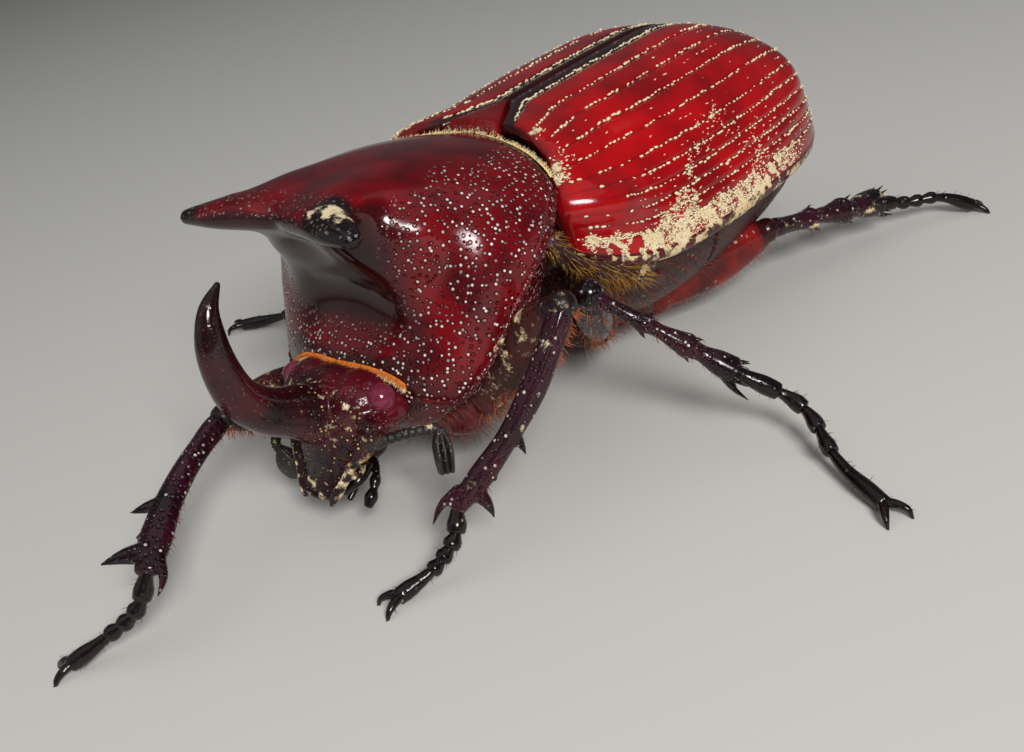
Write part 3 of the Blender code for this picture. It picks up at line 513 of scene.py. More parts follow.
def body_points(obj):
    """Points of a piece in body millimetres."""
    flat = np.empty(len(obj.data.vertices) * 3, np.float32)
    obj.data.vertices.foreach_get("co", flat)
    return flat.reshape(-1, 3).astype(float) / MM - OFFSET


def move_points(obj, points):
    """Set a piece's points from body millimetres."""
    obj.data.vertices.foreach_set("co", metres(points).astype(np.float32).ravel())
    obj.data.update()


def eased(obj, weigh, rounds):
    """Even out a piece's surface where weigh(points) is near 1, to broad fillets."""
    mesh = obj.data
    ends = np.empty(len(mesh.edges) * 2, np.int32)
    mesh.edges.foreach_get("vertices", ends)
    a, b = ends.reshape(-1, 2).T
    count = len(mesh.vertices)
    share = np.bincount(a, minlength=count) + np.bincount(b, minlength=count)
    points = body_points(obj)
    weight = 0.5 * np.clip(weigh(points), 0, 1)
    for _ in range(rounds):
        for k in range(3):
            around = np.bincount(a, points[b, k], count) + np.bincount(b, points[a, k], count)
            points[:, k] += weight * (around / share - points[:, k])
    move_points(obj, points)


def body_normals(obj):
    """Point normals of a piece."""
    flat = np.empty(len(obj.data.vertices) * 3, np.float32)
    obj.data.vertex_normals.foreach_get("vector", flat)
    return flat.reshape(-1, 3).astype(float)


def paint(obj, **masks):
    """Store masks from 0 to 1, one number or one for each point, as attributes."""
    count = len(obj.data.vertices)
    for name, values in masks.items():
        layer = obj.data.attributes.new(name, "FLOAT", "POINT")
        whole = np.broadcast_to(np.clip(values, 0, 1), count)
        layer.data.foreach_set("value", whole.astype(np.float32))


def settle(obj, material, slot, *nodes):
    """Give a finished piece its material and body, and hide the solids of the nodes that it stands for.
    """
    obj.data.materials.clear()
    obj.data.materials.append(material)
    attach(obj, "root")
    if nodes:
        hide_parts(*nodes)
    return obj


def add_node(tree, kind, links=(), **settings):
    """Node with its settings; links are (input, output socket or value) pairs."""
    node = tree.nodes.new(kind)
    for name, value in settings.items():
        setattr(node, name, value)
    for key, source in links:
        socket = node.inputs[key]
        if isinstance(source, bpy.types.NodeSocket):
            tree.links.new(source, socket)
        else:
            socket.default_value = source
    return node


def noise(tree, place, size, detail, rough=0.5):
    """Noise with features of a size in millimetres."""
    return add_node(tree, "ShaderNodeTexNoise",
                    [("Vector", place), ("Scale", 1 / (size * MM)), ("Detail", detail),
                     ("Roughness", rough)]).outputs["Fac"]


def ramp(tree, value, low=0.0, high=1.0, to_low=0.0, to_high=1.0, **settings):
    """A value from low to high turned to a range of its own."""
    return add_node(tree, "ShaderNodeMapRange",
                    [("Value", value), ("From Min", low), ("From Max", high), ("To Min", to_low),
                     ("To Max", to_high)], **settings).outputs[0]


def blend(tree, factor, first, second):
    """Colour between two others."""
    return add_node(tree, "ShaderNodeMix", [("Factor", factor), ("A", first), ("B", second)],
                    data_type="RGBA").outputs["Result"]


def reckon(tree, operation, *values):
    """Result of one operation on values."""
    return add_node(tree, "ShaderNodeMath", enumerate(values), operation=operation).outputs[0]


def bump(tree, height, depth, links=(), **settings):
    """Normals of a relief whose depth is in millimetres."""
    return add_node(tree, "ShaderNodeBump", [("Height", height), ("Distance", depth * MM), *links],
                    **settings).outputs[0]


def chitin(name, main, shade, roughness, pit_size=0.36, pit_depth=0.05, fleck="#d9c49a",
           fleck_share=0.4, grain_depth=0.004, mottle_size=2.6, pitted_roughness=0.05):
    """Lacquer-like shell plate: body colour with mottling, punctures, pale flecks that are partly dust
    and partly painted glints, and mud.

    Attributes: pits is where punctures are, dust where dried mud lies, dark where it is black or painted
    into shade.
    """
    material = bpy.data.materials.new(name)
    material.use_nodes = True
    tree = material.node_tree
    shader = tree.nodes["Principled BSDF"]
    # A thin wax film lowers the mirror strength of the cuticle a little
    shader.inputs["IOR"].default_value = 1.48
    place = add_node(tree, "ShaderNodeTexCoord").outputs["Object"]
    masks = {key: add_node(tree, "ShaderNodeAttribute", attribute_name=key).outputs["Fac"]
             for key in ("pits", "dust", "dark")}

    mottle = noise(tree, place, mottle_size, 4.0)
    spread = ramp(tree, mottle, 0.38, 0.66)
    body = blend(tree, spread, linear(main), linear(shade))
    # The dark attribute lays on black, both for black cuticle and for painted shade
    blackened_and_shaded = blend(tree, masks["dark"], body, linear(BLACK))

    cell = add_node(tree, "ShaderNodeTexVoronoi",
                    [("Vector", place), ("Scale", 1 / (pit_size * MM)), ("Randomness", 0.8)])
    distance = cell.outputs["Distance"]
    inside = ramp(tree, distance, 0.46, 0.22, interpolation_type="SMOOTHSTEP")
    core = ramp(tree, distance, 0.34, 0.22, interpolation_type="SMOOTHSTEP")
    pit = reckon(tree, "MULTIPLY", inside, masks["pits"])
    # Pale flecks in the punctures: partly dust, partly painted glints, brighter where vivid
    chance = add_node(tree, "ShaderNodeSeparateColor", [("Color", cell.outputs["Color"])])
    chosen = reckon(tree, "LESS_THAN", chance.outputs["Red"], fleck_share)
    small_pit = reckon(tree, "MULTIPLY", core, masks["pits"])
    vivid = ramp(tree, chance.outputs["Green"], to_low=0.18)
    picked = reckon(tree, "MULTIPLY", small_pit, chosen)
    dust_and_glint_flecks = reckon(tree, "MULTIPLY", picked, vivid)
    with_dust_and_glint_flecks = blend(tree, dust_and_glint_flecks, blackened_and_shaded, linear(fleck))

    crumb = noise(tree, place, 0.55, 6.0, 0.72)
    mud = ramp(tree, reckon(tree, "ADD", crumb, masks["dust"]), 1.0, 1.08)
    mud_tone = blend(tree, mottle, linear(MUD_LIGHT), linear(MUD_DEEP))
    covered = blend(tree, mud, with_dust_and_glint_flecks, mud_tone)
    tree.links.new(covered, shader.inputs["Base Color"])

    gloss = ramp(tree, reckon(tree, "MAXIMUM", mud, dust_and_glint_flecks), to_low=roughness, to_high=0.85)
    uneven = reckon(tree, "MULTIPLY_ADD", masks["pits"], pitted_roughness, gloss)
    tree.links.new(uneven, shader.inputs["Roughness"])

    fine = bump(tree, noise(tree, place, 0.14, 2.0), grain_depth)
    hollow = bump(tree, pit, pit_depth, [("Normal", fine)], invert=True)
    crust = bump(tree, mud, 0.05, [("Normal", hollow)])
    tree.links.new(crust, shader.inputs["Normal"])
    return material


def dull_stuff(name, light, deep, roughness, size=0.3):
    """Plain fine-grained stuff, hair or dried mud, in two tones."""
    material = bpy.data.materials.new(name)
    material.use_nodes = True
    tree = material.node_tree
    shader = tree.nodes["Principled BSDF"]
    shader.inputs["Roughness"].default_value = roughness
    place = add_node(tree, "ShaderNodeTexCoord").outputs["Object"]
    mix = blend(tree, noise(tree, place, size, 3.0), linear(light), linear(deep))
    tree.links.new(mix, shader.inputs["Base Color"])
    return material


def stiff_hair():
    """Bristle shape one long on +Z, with three sides and a bow to one side."""
    heights = np.array((0.0, 0.3, 0.6, 0.85))
    radii = np.array((1.0, 0.85, 0.6, 0.35))
    bow = 6.0 * heights ** 2
    points = []
    for height, radius, shift in zip(heights, radii, bow):
        for k in range(3):
            angle = 2 * math.pi * k / 3
            points.append((shift + radius * math.cos(angle), radius * math.sin(angle), height))
    points.append((6.0, 0.0, 1.0))
    faces = grid_faces(4, 3)
    faces += [[9 + k, 9 + (k + 1) % 3, 12] for k in range(3)]
    faces.append([2, 1, 0])
    return np.array(points), faces


def mud_crumb():
    """Small uneven lump, one long on Z and one across."""
    points, faces = ellipsoid((0, 0, 0), (0.5, 0.5, 0.5), sides=6, rings=4)
    rng = np.random.default_rng(SEED)
    return points * rng.uniform(0.8, 1.15, (len(points), 1)), faces


def scatter(name, shape, roots, lies, sizes, material, slot, wrap):
    """Copies of a shape on roots, +Z along lies, scaled by sizes, made one plain mesh.

    wrap gives each root's place on an unwrap of the skin it grows on, from 0 to 1.
    """
    template = make_object(name + " template", shape[0], shape[1], placed=False)
    seeds = make_object(name + " roots", roots, [])
    for key, values in (("lie", lies), ("size", np.asarray(sizes) * MM)):
        layer = seeds.data.attributes.new(key, "FLOAT_VECTOR", "POINT")
        layer.data.foreach_set("vector", np.asarray(values, np.float32).ravel())
    tree = bpy.data.node_groups.new(name, "GeometryNodeTree")
    face = tree.interface
    face.new_socket("Geometry", in_out="INPUT", socket_type="NodeSocketGeometry")
    shape_socket = face.new_socket("Shape", in_out="INPUT", socket_type="NodeSocketObject")
    seed_socket = face.new_socket("Seed", in_out="INPUT", socket_type="NodeSocketInt")
    face.new_socket("Geometry", in_out="OUTPUT", socket_type="NodeSocketGeometry")
    inputs = add_node(tree, "NodeGroupInput")
    copied = add_node(tree, "GeometryNodeObjectInfo", [("Object", inputs.outputs["Shape"])])
    lie = add_node(tree, "GeometryNodeInputNamedAttribute", [("Name", "lie")],
                   data_type="FLOAT_VECTOR")
    size = add_node(tree, "GeometryNodeInputNamedAttribute", [("Name", "size")],
                    data_type="FLOAT_VECTOR")
    aimed = add_node(tree, "FunctionNodeAlignRotationToVector",
                     [("Vector", lie.outputs["Attribute"])], axis="Z")
    angle = add_node(tree, "FunctionNodeRandomValue",
                     [("Max", 2 * math.pi), ("Seed", inputs.outputs["Seed"])], data_type="FLOAT")
    about = add_node(tree, "ShaderNodeCombineXYZ", [("Z", angle.outputs["Value"])])
    spun = add_node(tree, "FunctionNodeRotateRotation",
                    [("Rotation", aimed.outputs[0]), ("Rotate By", about.outputs[0])],
                    rotation_space="LOCAL")
    placed = add_node(tree, "GeometryNodeInstanceOnPoints",
                      [("Points", inputs.outputs["Geometry"]),
                       ("Instance", copied.outputs["Geometry"]), ("Rotation", spun.outputs[0]),
                       ("Scale", size.outputs["Attribute"])])
    solid = add_node(tree, "GeometryNodeRealizeInstances", [("Geometry", placed.outputs[0])])
    dressed = add_node(tree, "GeometryNodeSetMaterial",
                       [("Geometry", solid.outputs[0]), ("Material", material)])
    add_node(tree, "NodeGroupOutput", [("Geometry", dressed.outputs[0])])
    modifier = seeds.modifiers.new("Scatter", "NODES")
    modifier.node_group = tree
    modifier[shape_socket.identifier] = template
    modifier[seed_socket.identifier] = SEED
    made = plain(name, seeds)
    bpy.data.objects.remove(template)
    bpy.data.node_groups.remove(tree)
    patch_map(made, len(shape[0]), wrap)
    return settle(made, material, slot)


def patch_map(obj, points_each, wrap):
    """UV map with each copy on a small patch at its root's place on the skin's unwrap."""
    mesh = obj.data
    for layer in list(mesh.uv_layers):
        mesh.uv_layers.remove(layer)
    corners = np.empty(len(mesh.loops), np.int32)
    mesh.loops.foreach_get("vertex_index", corners)
    copy = np.minimum(corners // points_each, len(wrap) - 1)
    turn = (corners % points_each) * 2.4
    patch = 0.0015 * np.stack((np.cos(turn), np.sin(turn)), axis=-1)
    layer = mesh.uv_layers.new(name="OFBake")
    layer.uv.foreach_set("vector", (np.asarray(wrap)[copy] + patch).astype(np.float32).ravel())


def roots_on(obj, count, weigh, seed):
    """Random roots, normals and unwrap places on a piece, by a weight on points and normals."""
    mesh = obj.data
    mesh.calc_loop_triangles()
    corners = np.empty(len(mesh.loop_triangles) * 3, np.int32)
    mesh.loop_triangles.foreach_get("vertices", corners)
    corners = corners.reshape(-1, 3)
    points = body_points(obj)
    normals = body_normals(obj)
    a, b, c = (points[corners[:, k]] for k in range(3))
    area = np.linalg.norm(np.cross(b - a, c - a), axis=1)
    middle = (a + b + c) / 3
    facing = unit(normals[corners].sum(axis=1))
    share = area * np.clip(weigh(middle, facing), 0, None)
    if share.sum() <= 0:
        raise ValueError(f"nothing on {obj.name} takes hair")
    rng = np.random.default_rng(seed)
    picked = rng.choice(len(corners), count, p=share / share.sum())
    u = rng.uniform(size=(count, 2))
    flip = u.sum(axis=1) > 1
    u[flip] = 1 - u[flip]
    roots = a[picked] + (b - a)[picked] * u[:, :1] + (c - a)[picked] * u[:, 1:]
    return roots, facing[picked], unwrap(roots)


def unwrap(roots):
    """Places from 0 to 1 on an unwrap round the body's long axis."""
    round_body = np.arctan2(roots[:, 2], roots[:, 0]) / (2 * math.pi) + 0.5
    along_body = (roots[:, 1] + BODY_START) / BODY_SPAN
    return np.clip(np.stack((round_body, along_body), axis=-1), 0.004, 0.996)


def grow(name, obj, count, weigh, lean, length, width, material, slot, seed):
    """Bristles on a piece: lean is added to the normal, length and width are (low, high)."""
    roots, normals, wrap = roots_on(obj, count, weigh, seed)
    rng = np.random.default_rng(seed + 1)
    lies = unit(normals + np.asarray(lean, float) + rng.normal(0, HAIR_SPREAD, (count, 3)))
    reach = rng.uniform(*length, count)
    thick = rng.uniform(*width, count)
    sizes = np.stack((thick, thick, reach), axis=-1)
    return scatter(name, stiff_hair(), roots - lies * ROOT_SINK, lies, sizes, material, slot, wrap)


def edge_roots(station, low, high, rng):
    """Random roots along an edge of the pronotum, between two angles of its section."""
    ring = prothorax_rings([station], EDGE_STEPS)[0]
    angle = rng.uniform(low, high, FRINGE_HAIRS)
    return ring[(angle / (2 * math.pi) * EDGE_STEPS).astype(int)]


def fringe(name, roots, lie, length, width, spread, material, slot, seed):
    """Bristles in a row from given roots, all along lie but for their spread."""
    rng = np.random.default_rng(seed)
    count = len(roots)
    aim = unit(np.asarray(lie, float) + rng.normal(0, spread, (count, 3)))
    thick = rng.uniform(*width, count)
    sizes = np.stack((thick, thick, rng.uniform(*length, count)), axis=-1)
    return scatter(name, stiff_hair(), roots, aim, sizes, material, slot, unwrap(roots))


def fall(part, sharpness, fullness):
    """Outline that stays near 1 and rounds down to 0 as part goes from 0 to 1."""
    return np.clip(1 - np.clip(part, 0, 1) ** sharpness, 0, None) ** (1 / fullness)


def case_half_width(y, inset):
    """Half width of both wing cases together at y, inset from the outer surface."""
    widest = CASE_HALF_WIDTH - inset
    length, power = SHOULDER_FALL
    front = widest * (1 - (np.clip(CASE_WIDEST_Y - y, 0, None) / length) ** power)
    part = (y - CASE_WIDEST_Y) / (CASE_LENGTH - inset - CASE_WIDEST_Y)
    return np.where(y < CASE_WIDEST_Y, front, widest * fall(part, *PLAN_FALL))


def case_margin(y):
    """Height of the side margin, which climbs at the shoulder and a little at the tip."""
    height, start, length = MARGIN_SHOULDER
    shoulder = height * (np.clip(start - y, 0, None) / length) ** 2
    height, start, length = MARGIN_TIP
    return shoulder + height * (np.clip(y - start, 0, None) / length) ** 2


def case_top(y, inset):
    """Height of the wing cases over the margin level along the suture."""
    top = CASE_TOP - inset
    front = top - (CASE_TOP - CASE_BASE_TOP) * (np.clip(CASE_TOP_Y - y, 0, None) / CASE_TOP_Y) ** 2
    part = (y - CASE_TOP_Y) / (CASE_LENGTH - inset - CASE_TOP_Y)
    back = case_margin(y) + (top - case_margin(y)) * fall(part, *TOP_FALL)
    return np.where(y < CASE_TOP_Y, front, back)


def suture_edge(y):
    """Distance of a wing case's inner edge from the midline."""
    return np.maximum(SUTURE, SUTURE + SCUTELLUM_HALF_WIDTH * (1 - y / SCUTELLUM_LENGTH))


def knob(y, t, height, y_place, y_reach, t_place, t_reach):
    """Height of a soft knob of the wing case."""
    return height * np.exp(-((y - y_place) / y_reach) ** 2 - ((t - t_place) / t_reach) ** 2)


def case_base(t):
    """Place along y of the wing case's base edge."""
    reach, place, spread = SHOULDER_BULGE
    bulge = reach * np.exp(-((t - place) / spread) ** 2)
    return 0.35 + 1.15 * BASE_BOW * np.sin(math.pi / 2 * t) ** 0.9 - bulge


def case_point(s, t, inset=0.0, grooved=True):
    """Points of the left wing case: s runs base to tip, t suture to margin."""
    s, t = np.broadcast_arrays(np.asarray(s, float), np.asarray(t, float))
    across = math.pi / 2 * t
    base = case_base(t)
    y = base + (CASE_LENGTH - inset - base) * np.sin(math.pi / 2 * s)
    held = np.maximum(y, 0)
    outer = np.maximum(case_half_width(y, inset), 0)
    edge = suture_edge(held)
    margin = case_margin(y)
    rise = case_top(held, inset) - margin
    narrowing = 1 - (edge - SUTURE) / CASE_HALF_WIDTH
    x = edge + np.maximum(outer - SUTURE, 0) * narrowing * np.sin(across) ** SECTION_SIDE
    z = margin + rise * np.clip(np.cos(across), 0, None) ** SECTION_TOP
    bump = knob(y, t, *SHOULDER_KNOB) + knob(y, t, *TIP_KNOB)
    length, depth = BASE_ROUND
    lead = np.clip(1 - (y - base) / length, 0, 1)
    bump -= depth * np.sin(across) * (1 - np.sqrt(1 - lead ** 2))
    if grooved:
        fade = np.minimum(1, np.minimum((y - base) / 1.5, 6 * (1 - s)))
        fade = fade * (1 - np.exp(-((y + 0.5) / 3.0) ** 2 - ((t - 0.68) / 0.14) ** 2))
        for place in STRIAE:
            bump -= 0.08 * fade * np.exp(-((t - place) / 0.011) ** 2)
        bump += 0.05 * np.exp(-((t - 0.995) / 0.012) ** 2) * fade
    return np.stack((x + np.sin(across) * bump, y, z + np.cos(across) * bump), axis=-1)


def spread_columns():
    """Places across a wing case, closer together at each punctured line."""
    even = np.linspace(0, 1, 121)
    fine = [place + step for place in STRIAE for step in (-0.016, -0.011, -0.006, 0, 0.006, 0.011, 0.016)]
    places = np.unique(np.clip(np.round(np.concatenate((even, fine)), 4), 0, 1))
    kept = [places[0]]
    for place in places[1:]:
        if place - kept[-1] > 0.0022:
            kept.append(place)
    kept[-1] = 1.0
    return np.array(kept)


def case_dust(y, t, points):
    """How likely dried mud is at places on a wing case, from 0 to 1."""
    side = 1 if points[:, 0].max() > 0 else -1
    broad = waves(points * (1, 0.55, 1), 3.2, SEED + side)
    small = waves(points, 0.9, SEED + 3)
    rag = 0.02 * small + 0.012 * broad
    margin_band = smoothstep(0.835, 0.87, t + rag) * smoothstep(-1.4, -0.6, y + 6 * (1 - t))
    gaps = smoothstep(0.2, 0.6, small + 0.6 * broad - 0.4 * smoothstep(4, 0, y))
    margin_band *= (1 - smoothstep(13, 20, y)) * (1 - 0.8 * gaps)
    field = smoothstep(0.52, 0.72, t + rag) * smoothstep(1.5, 3.5, y) * (1 - smoothstep(9.5, 17, y))
    field *= smoothstep(-0.3, 0.25, broad + 0.4 * small - 0.3 * (t < 0.62))
    back = smoothstep(0.3, 0.42, t) * smoothstep(7.5, 9, y) * (1 - smoothstep(14, 18, y))
    back *= smoothstep(0.35, 0.75, broad + 0.3 * small)
    base = case_base(t)
    strip = (1 - smoothstep(0.5, 1.3, y - base + 0.35 * small)) * (1 - smoothstep(0.5, 0.6, t))
    strip *= smoothstep(0.05, 0.14, t) * smoothstep(-0.5, 0.1, broad + 0.3)
    return np.maximum.reduce((0.95 * margin_band, 0.8 * field, 0.6 * back, 0.9 * strip))


def case_masks(points, t, outside):
    """Dust and darkness of a wing case from its points and their places across."""
    y = points[:, 1]
    dust = 0.63 * case_dust(y, t, points) * outside
    lower = smoothstep(0.985, 1.0, t) * (1 - smoothstep(20, 24, y))
    dust = np.maximum(dust, (0.52 + 0.1 * waves(points, 1.2, SEED + 5)) * lower)
    # Painted shade along the stria grooves, where the punctures are hollow
    grooves = np.zeros(len(y))
    for place in STRIAE[1:]:
        grooves = np.maximum(grooves, np.exp(-((t - place) / 0.007) ** 2))
    along_suture = (1 - smoothstep(0.026, 0.04, t)) * 0.93
    rim = smoothstep(0.972, 0.985, t) * 0.8
    base_edge = 0.6 * (1 - smoothstep(0.0, 0.35, y - case_base(t)))
    tip_shade = 0.3 * smoothstep(17, 25, y)
    dark = np.maximum.reduce((along_suture, rim, base_edge, tip_shade, 0.3 * grooves))
    return dust, np.where(outside, dark, 0.8)


def elytron(name, side):
    """Wing case with its striae, rolled margin and the inner wall, as one closed shell."""
    t = spread_columns()
    columns = len(t)
    lead = (0.004, 0.009, 0.015, 0.022)
    s = np.concatenate(([0.0], lead, np.linspace(0.03, 1, CASE_ROWS, endpoint=False)))[:, None]
    outer = case_point(s, t[None, :])
    margin = outer[:, -1:]
    fold = np.linspace(0.2, 1, 5)[None, :]
    drop, width = BORDER
    shrink = np.minimum(1, 5 * (1 - s)) * smoothstep(-1.6, 0.5, margin[..., 1])
    turn = fold * math.pi * 0.85
    tucked = np.stack((-width * (1 - np.cos(turn)) * shrink * 0.8, 0 * fold * shrink,
                       -drop * np.sin(turn) ** 0.8 * shrink - 0.12 * fold), axis=-1)
    inner_t = np.linspace(0.9, 0, 12)
    inner = case_point(s, inner_t[None, :], CASE_WALL, False)
    ring = np.concatenate((outer, margin + tucked, inner), axis=1)
    count = ring.shape[1]
    tip = case_point(1.0, 0.0, 0.0, False).reshape(1, 3)
    points = np.vstack((ring.reshape(-1, 3), tip))
    faces = grid_faces(len(ring), count)
    last = (len(ring) - 1) * count
    faces += [[last + k, last + (k + 1) % count, len(points) - 1] for k in range(count)]
    faces.append(list(range(count)))
    crosswise = np.concatenate((t, np.ones(5), inner_t))
    t_all = np.append(np.tile(crosswise, len(ring)), 0)
    outside = np.append(np.tile(np.arange(count) < columns, len(ring)), True)
    dust, dark = case_masks(points * (side, 1, 1), t_all, outside)
    points[:, 0] *= side
    made = make_object(name, points, faces)
    turn_outwards(made, weld=False)
    paint(made, dust=dust, dark=dark, pits=0)
    return made


def row_crumbs(line, t, step, thick, thin_out, rng):
    """Roots, directions and sizes of the mud dashes along one line of punctures."""
    s = np.linspace(0.0, 0.985, 600)
    drift = 0.005 * np.sin(s * 9 + line) if line else 0 * s
    path = case_point(s, t + drift, 0.0, False)
    path[:, 2] -= 0.02
    travel = np.concatenate(([0], np.cumsum(np.linalg.norm(np.diff(path, axis=0), axis=1))))
    stops = np.arange(1.0, travel[-1], step)
    stops = stops + rng.normal(0, 0.03, len(stops))
    spot = np.stack([np.interp(stops, travel, path[:, k]) for k in range(3)], axis=-1)
    ahead = np.stack([np.interp(stops + 0.2, travel, path[:, k]) for k in range(3)], axis=-1)
    y = spot[:, 1]
    glow = np.exp(-((y + 0.3) / 2.2) ** 2 - ((t - 0.64) / 0.13) ** 2)
    odds = thin_out * (0.9 - 0.3 * smoothstep(16, 23, y) + 0.3 * waves(spot, 2.6, SEED + line))
    odds = np.where(line == 0, 1 - 0.25 * smoothstep(17, 24, y), odds - 0.8 * glow)
    kept = rng.uniform(size=len(stops)) < odds
    swell = np.clip(1 + 0.3 * waves(spot, 1.6, SEED + 40 + line), 0.6, 1.5)[kept]
    number = int(kept.sum())
    roots = spot[kept] + rng.normal(0, 0.03, (number, 3))
    lies = unit(unit(ahead - spot)[kept] + rng.normal(0, 0.16, (number, 3)))
    length = rng.uniform(0.18, 0.31, number) * swell * (1.5 if line == 0 else 1)
    across = thick * rng.uniform(0.75, 1.2, number) * swell
    return roots, lies, np.stack((across, across * 0.8, length), axis=-1)


def stria_crumbs(name, side, material):
    """Dried mud in the punctures of the striae, as short raised dashes."""
    rng = np.random.default_rng(SEED + 20 + int(side))
    step, suture_step, thick, share = DASHES
    rows = [row_crumbs(line, t, step if line else suture_step, thick, share, rng)
            for line, t in enumerate(STRIAE)]
    for line, (low, high) in enumerate(zip(STRIAE[1:], STRIAE[2:])):
        rows.append(row_crumbs(line + 20, low * 0.5 + high * 0.5, *SMALL_DASHES, rng))
    roots, lies, sizes = (np.vstack([row[k] for row in rows]) for k in range(3))
    roots[:, 0] *= side
    lies[:, 0] *= side
    return scatter(name, mud_crumb(), roots, lies, sizes, material, "elytra", unwrap(roots))


def heap_crumbs(name, side, material):
    """Loose crumbs of dried mud where it lies in patches on a wing case."""
    rng = np.random.default_rng(SEED + 30 + int(side))
    s = rng.uniform(0, 0.8, CRUMB_TRIES)
    t = np.sqrt(rng.uniform(0, 1, CRUMB_TRIES))
    spot = case_point(s, t, 0.0, False)
    chance = case_dust(spot[:, 1], t, spot * (side, 1, 1)) ** 3
    kept = np.flatnonzero(rng.uniform(size=len(t)) < chance * (t < 0.975))[:CRUMBS]
    spot = spot[kept]
    ahead = case_point(s[kept] + 0.01, t[kept], 0.0, False)
    lies = unit(unit(ahead - spot) + rng.normal(0, 0.35, spot.shape))
    size = rng.uniform(0.05, 0.13, len(kept))
    sizes = np.stack((size, size * 0.6, size * rng.uniform(1.0, 1.9, len(kept))), axis=-1)
    roots = spot * (side, 1, 1)
    return scatter(name, mud_crumb(), roots, lies * (side, 1, 1), sizes, material, "elytra",
                   unwrap(roots))


def scutellum_plate():
    """Small triangular plate, gently domed, between the bases of the wing cases."""
    rows = []
    for y in np.linspace(0.15, 3.3, 26):
        half = float(suture_edge(y)) - GAP * 0.8
        part = np.linspace(-1, 1, 25)
        top = float(case_top(y, 0)) + 0.05 + 0.12 * (1 - part ** 2)
        top -= 0.35 * smoothstep(0.8, 1, np.abs(part)) + 0.25 * (1 - smoothstep(0.15, 0.6, y))
        upper = np.stack((half * part, 0 * part + y, top), axis=-1)
        lower = np.stack((half * part[::-1], 0 * part + y, 0 * part + top.min() - 0.4), axis=-1)
        rows.append(np.vstack((upper, lower)))
    ring = np.array(rows)
    faces = grid_faces(len(ring), ring.shape[1])
    faces.append(list(range(ring.shape[1])))
    last = (len(ring) - 1) * ring.shape[1]
    faces.append([last + k for k in range(ring.shape[1])][::-1])
    made = make_object("scutellum_plate", ring.reshape(-1, 3), faces)
    turn_outwards(made)
    return made


def prothorax_rings(stations, sides):
    """Sections of the prothorax: the arch of the pronotum above, the sternum below."""
    stations = np.asarray(stations, float)[:, None]
    margin_line = profile(PRONOTUM_MARGIN, stations[:, 0])
    wide = margin_line[:, 0][:, None]
    margin = margin_line[:, 1][:, None]
    top = profile(PRONOTUM_TOP, stations[:, 0])[:, None]
    low = profile(PROSTERNUM, stations[:, 0])[:, None]
    part = -stations / PRONOTUM_LENGTH
    bow = BASE_BOW * (1 - part) + FRONT_BOW * part
    angle = 2 * math.pi * np.arange(sides)[None, :] / sides
    turn = np.sin(angle)
    x = wide * np.sign(np.cos(angle)) * np.abs(np.cos(angle)) ** 0.8
    up = np.clip(turn, 0, None)
    down = np.clip(-turn, 0, None)
    z = margin + (top - margin) * up ** 0.9 - (margin - low) * down ** 0.7
    x = np.where(turn > 0, x, x * (1 - 0.35 * down ** 0.5))
    y = stations + bow * np.abs(x / wide) ** BOW_POWER
    return np.stack((x, y, z), axis=-1)


def mirrored(stations, side):
    """Stations with their x turned to a side."""
    return [(side * row[0], *row[1:]) for row in stations]


def swellings(places, side):
    """Balls at places (centre, radii), with their x turned to a side."""
    return [ellipsoid((side * x, y, z), radii) for (x, y, z), radii in places]


def horn_root(points):
    """1 where the horn's stem runs into the pronotum and its hollow front face."""
    x, y, z = points.T
    depth = smoothstep(-1.5, -4.0, y) * smoothstep(-13.6, -12.2, y)
    level = smoothstep(1.2, 3.2, z - 0.6 * smoothstep(4.0, 6.0, np.abs(x)))
    reach = 1 - smoothstep(5.6, 7.4, np.abs(x))
    lobe = smoothstep(2.4, 3.6, np.abs(x)) * smoothstep(-11.4, -12.3, y)
    return depth * level * reach * (1 - lobe)


def pronotum_shell(grain):
    """Pronotum, prosternum and the forked horn as one skin."""
    stations = np.concatenate((np.linspace(-0.1, -8, 34), np.linspace(-8.15, -12.3, 36)))
    ring = prothorax_rings(stations, 120)
    shapes = [closed_rings(ring, (0, 0.1, 2.5), (0, -12.5, -1.2)), tube(STEM, 56, 40),
              tube(GUSSET, 36, 24, (0, 0, 1))]
    for side in (-1, 1):
        shapes.append(tube(mirrored(LOBE, side), 36, 30, ends=(0.6, 0.9)))
        shapes.append(tube(mirrored(WEB, side), 28, 24, (1, 0, 0)))
        shapes.append(tube(mirrored(BRIDGE, side), 32, 20, ends=(0.6, 0.6)))
        shapes += swellings(PRONOTUM_SWELLINGS, side)
    made = fused("pronotum_shell", shapes, grain, 5)
    eased(made, horn_root, EASE_ROUNDS)
    paint(made, **pronotum_masks(body_points(made), body_normals(made)))
    return made


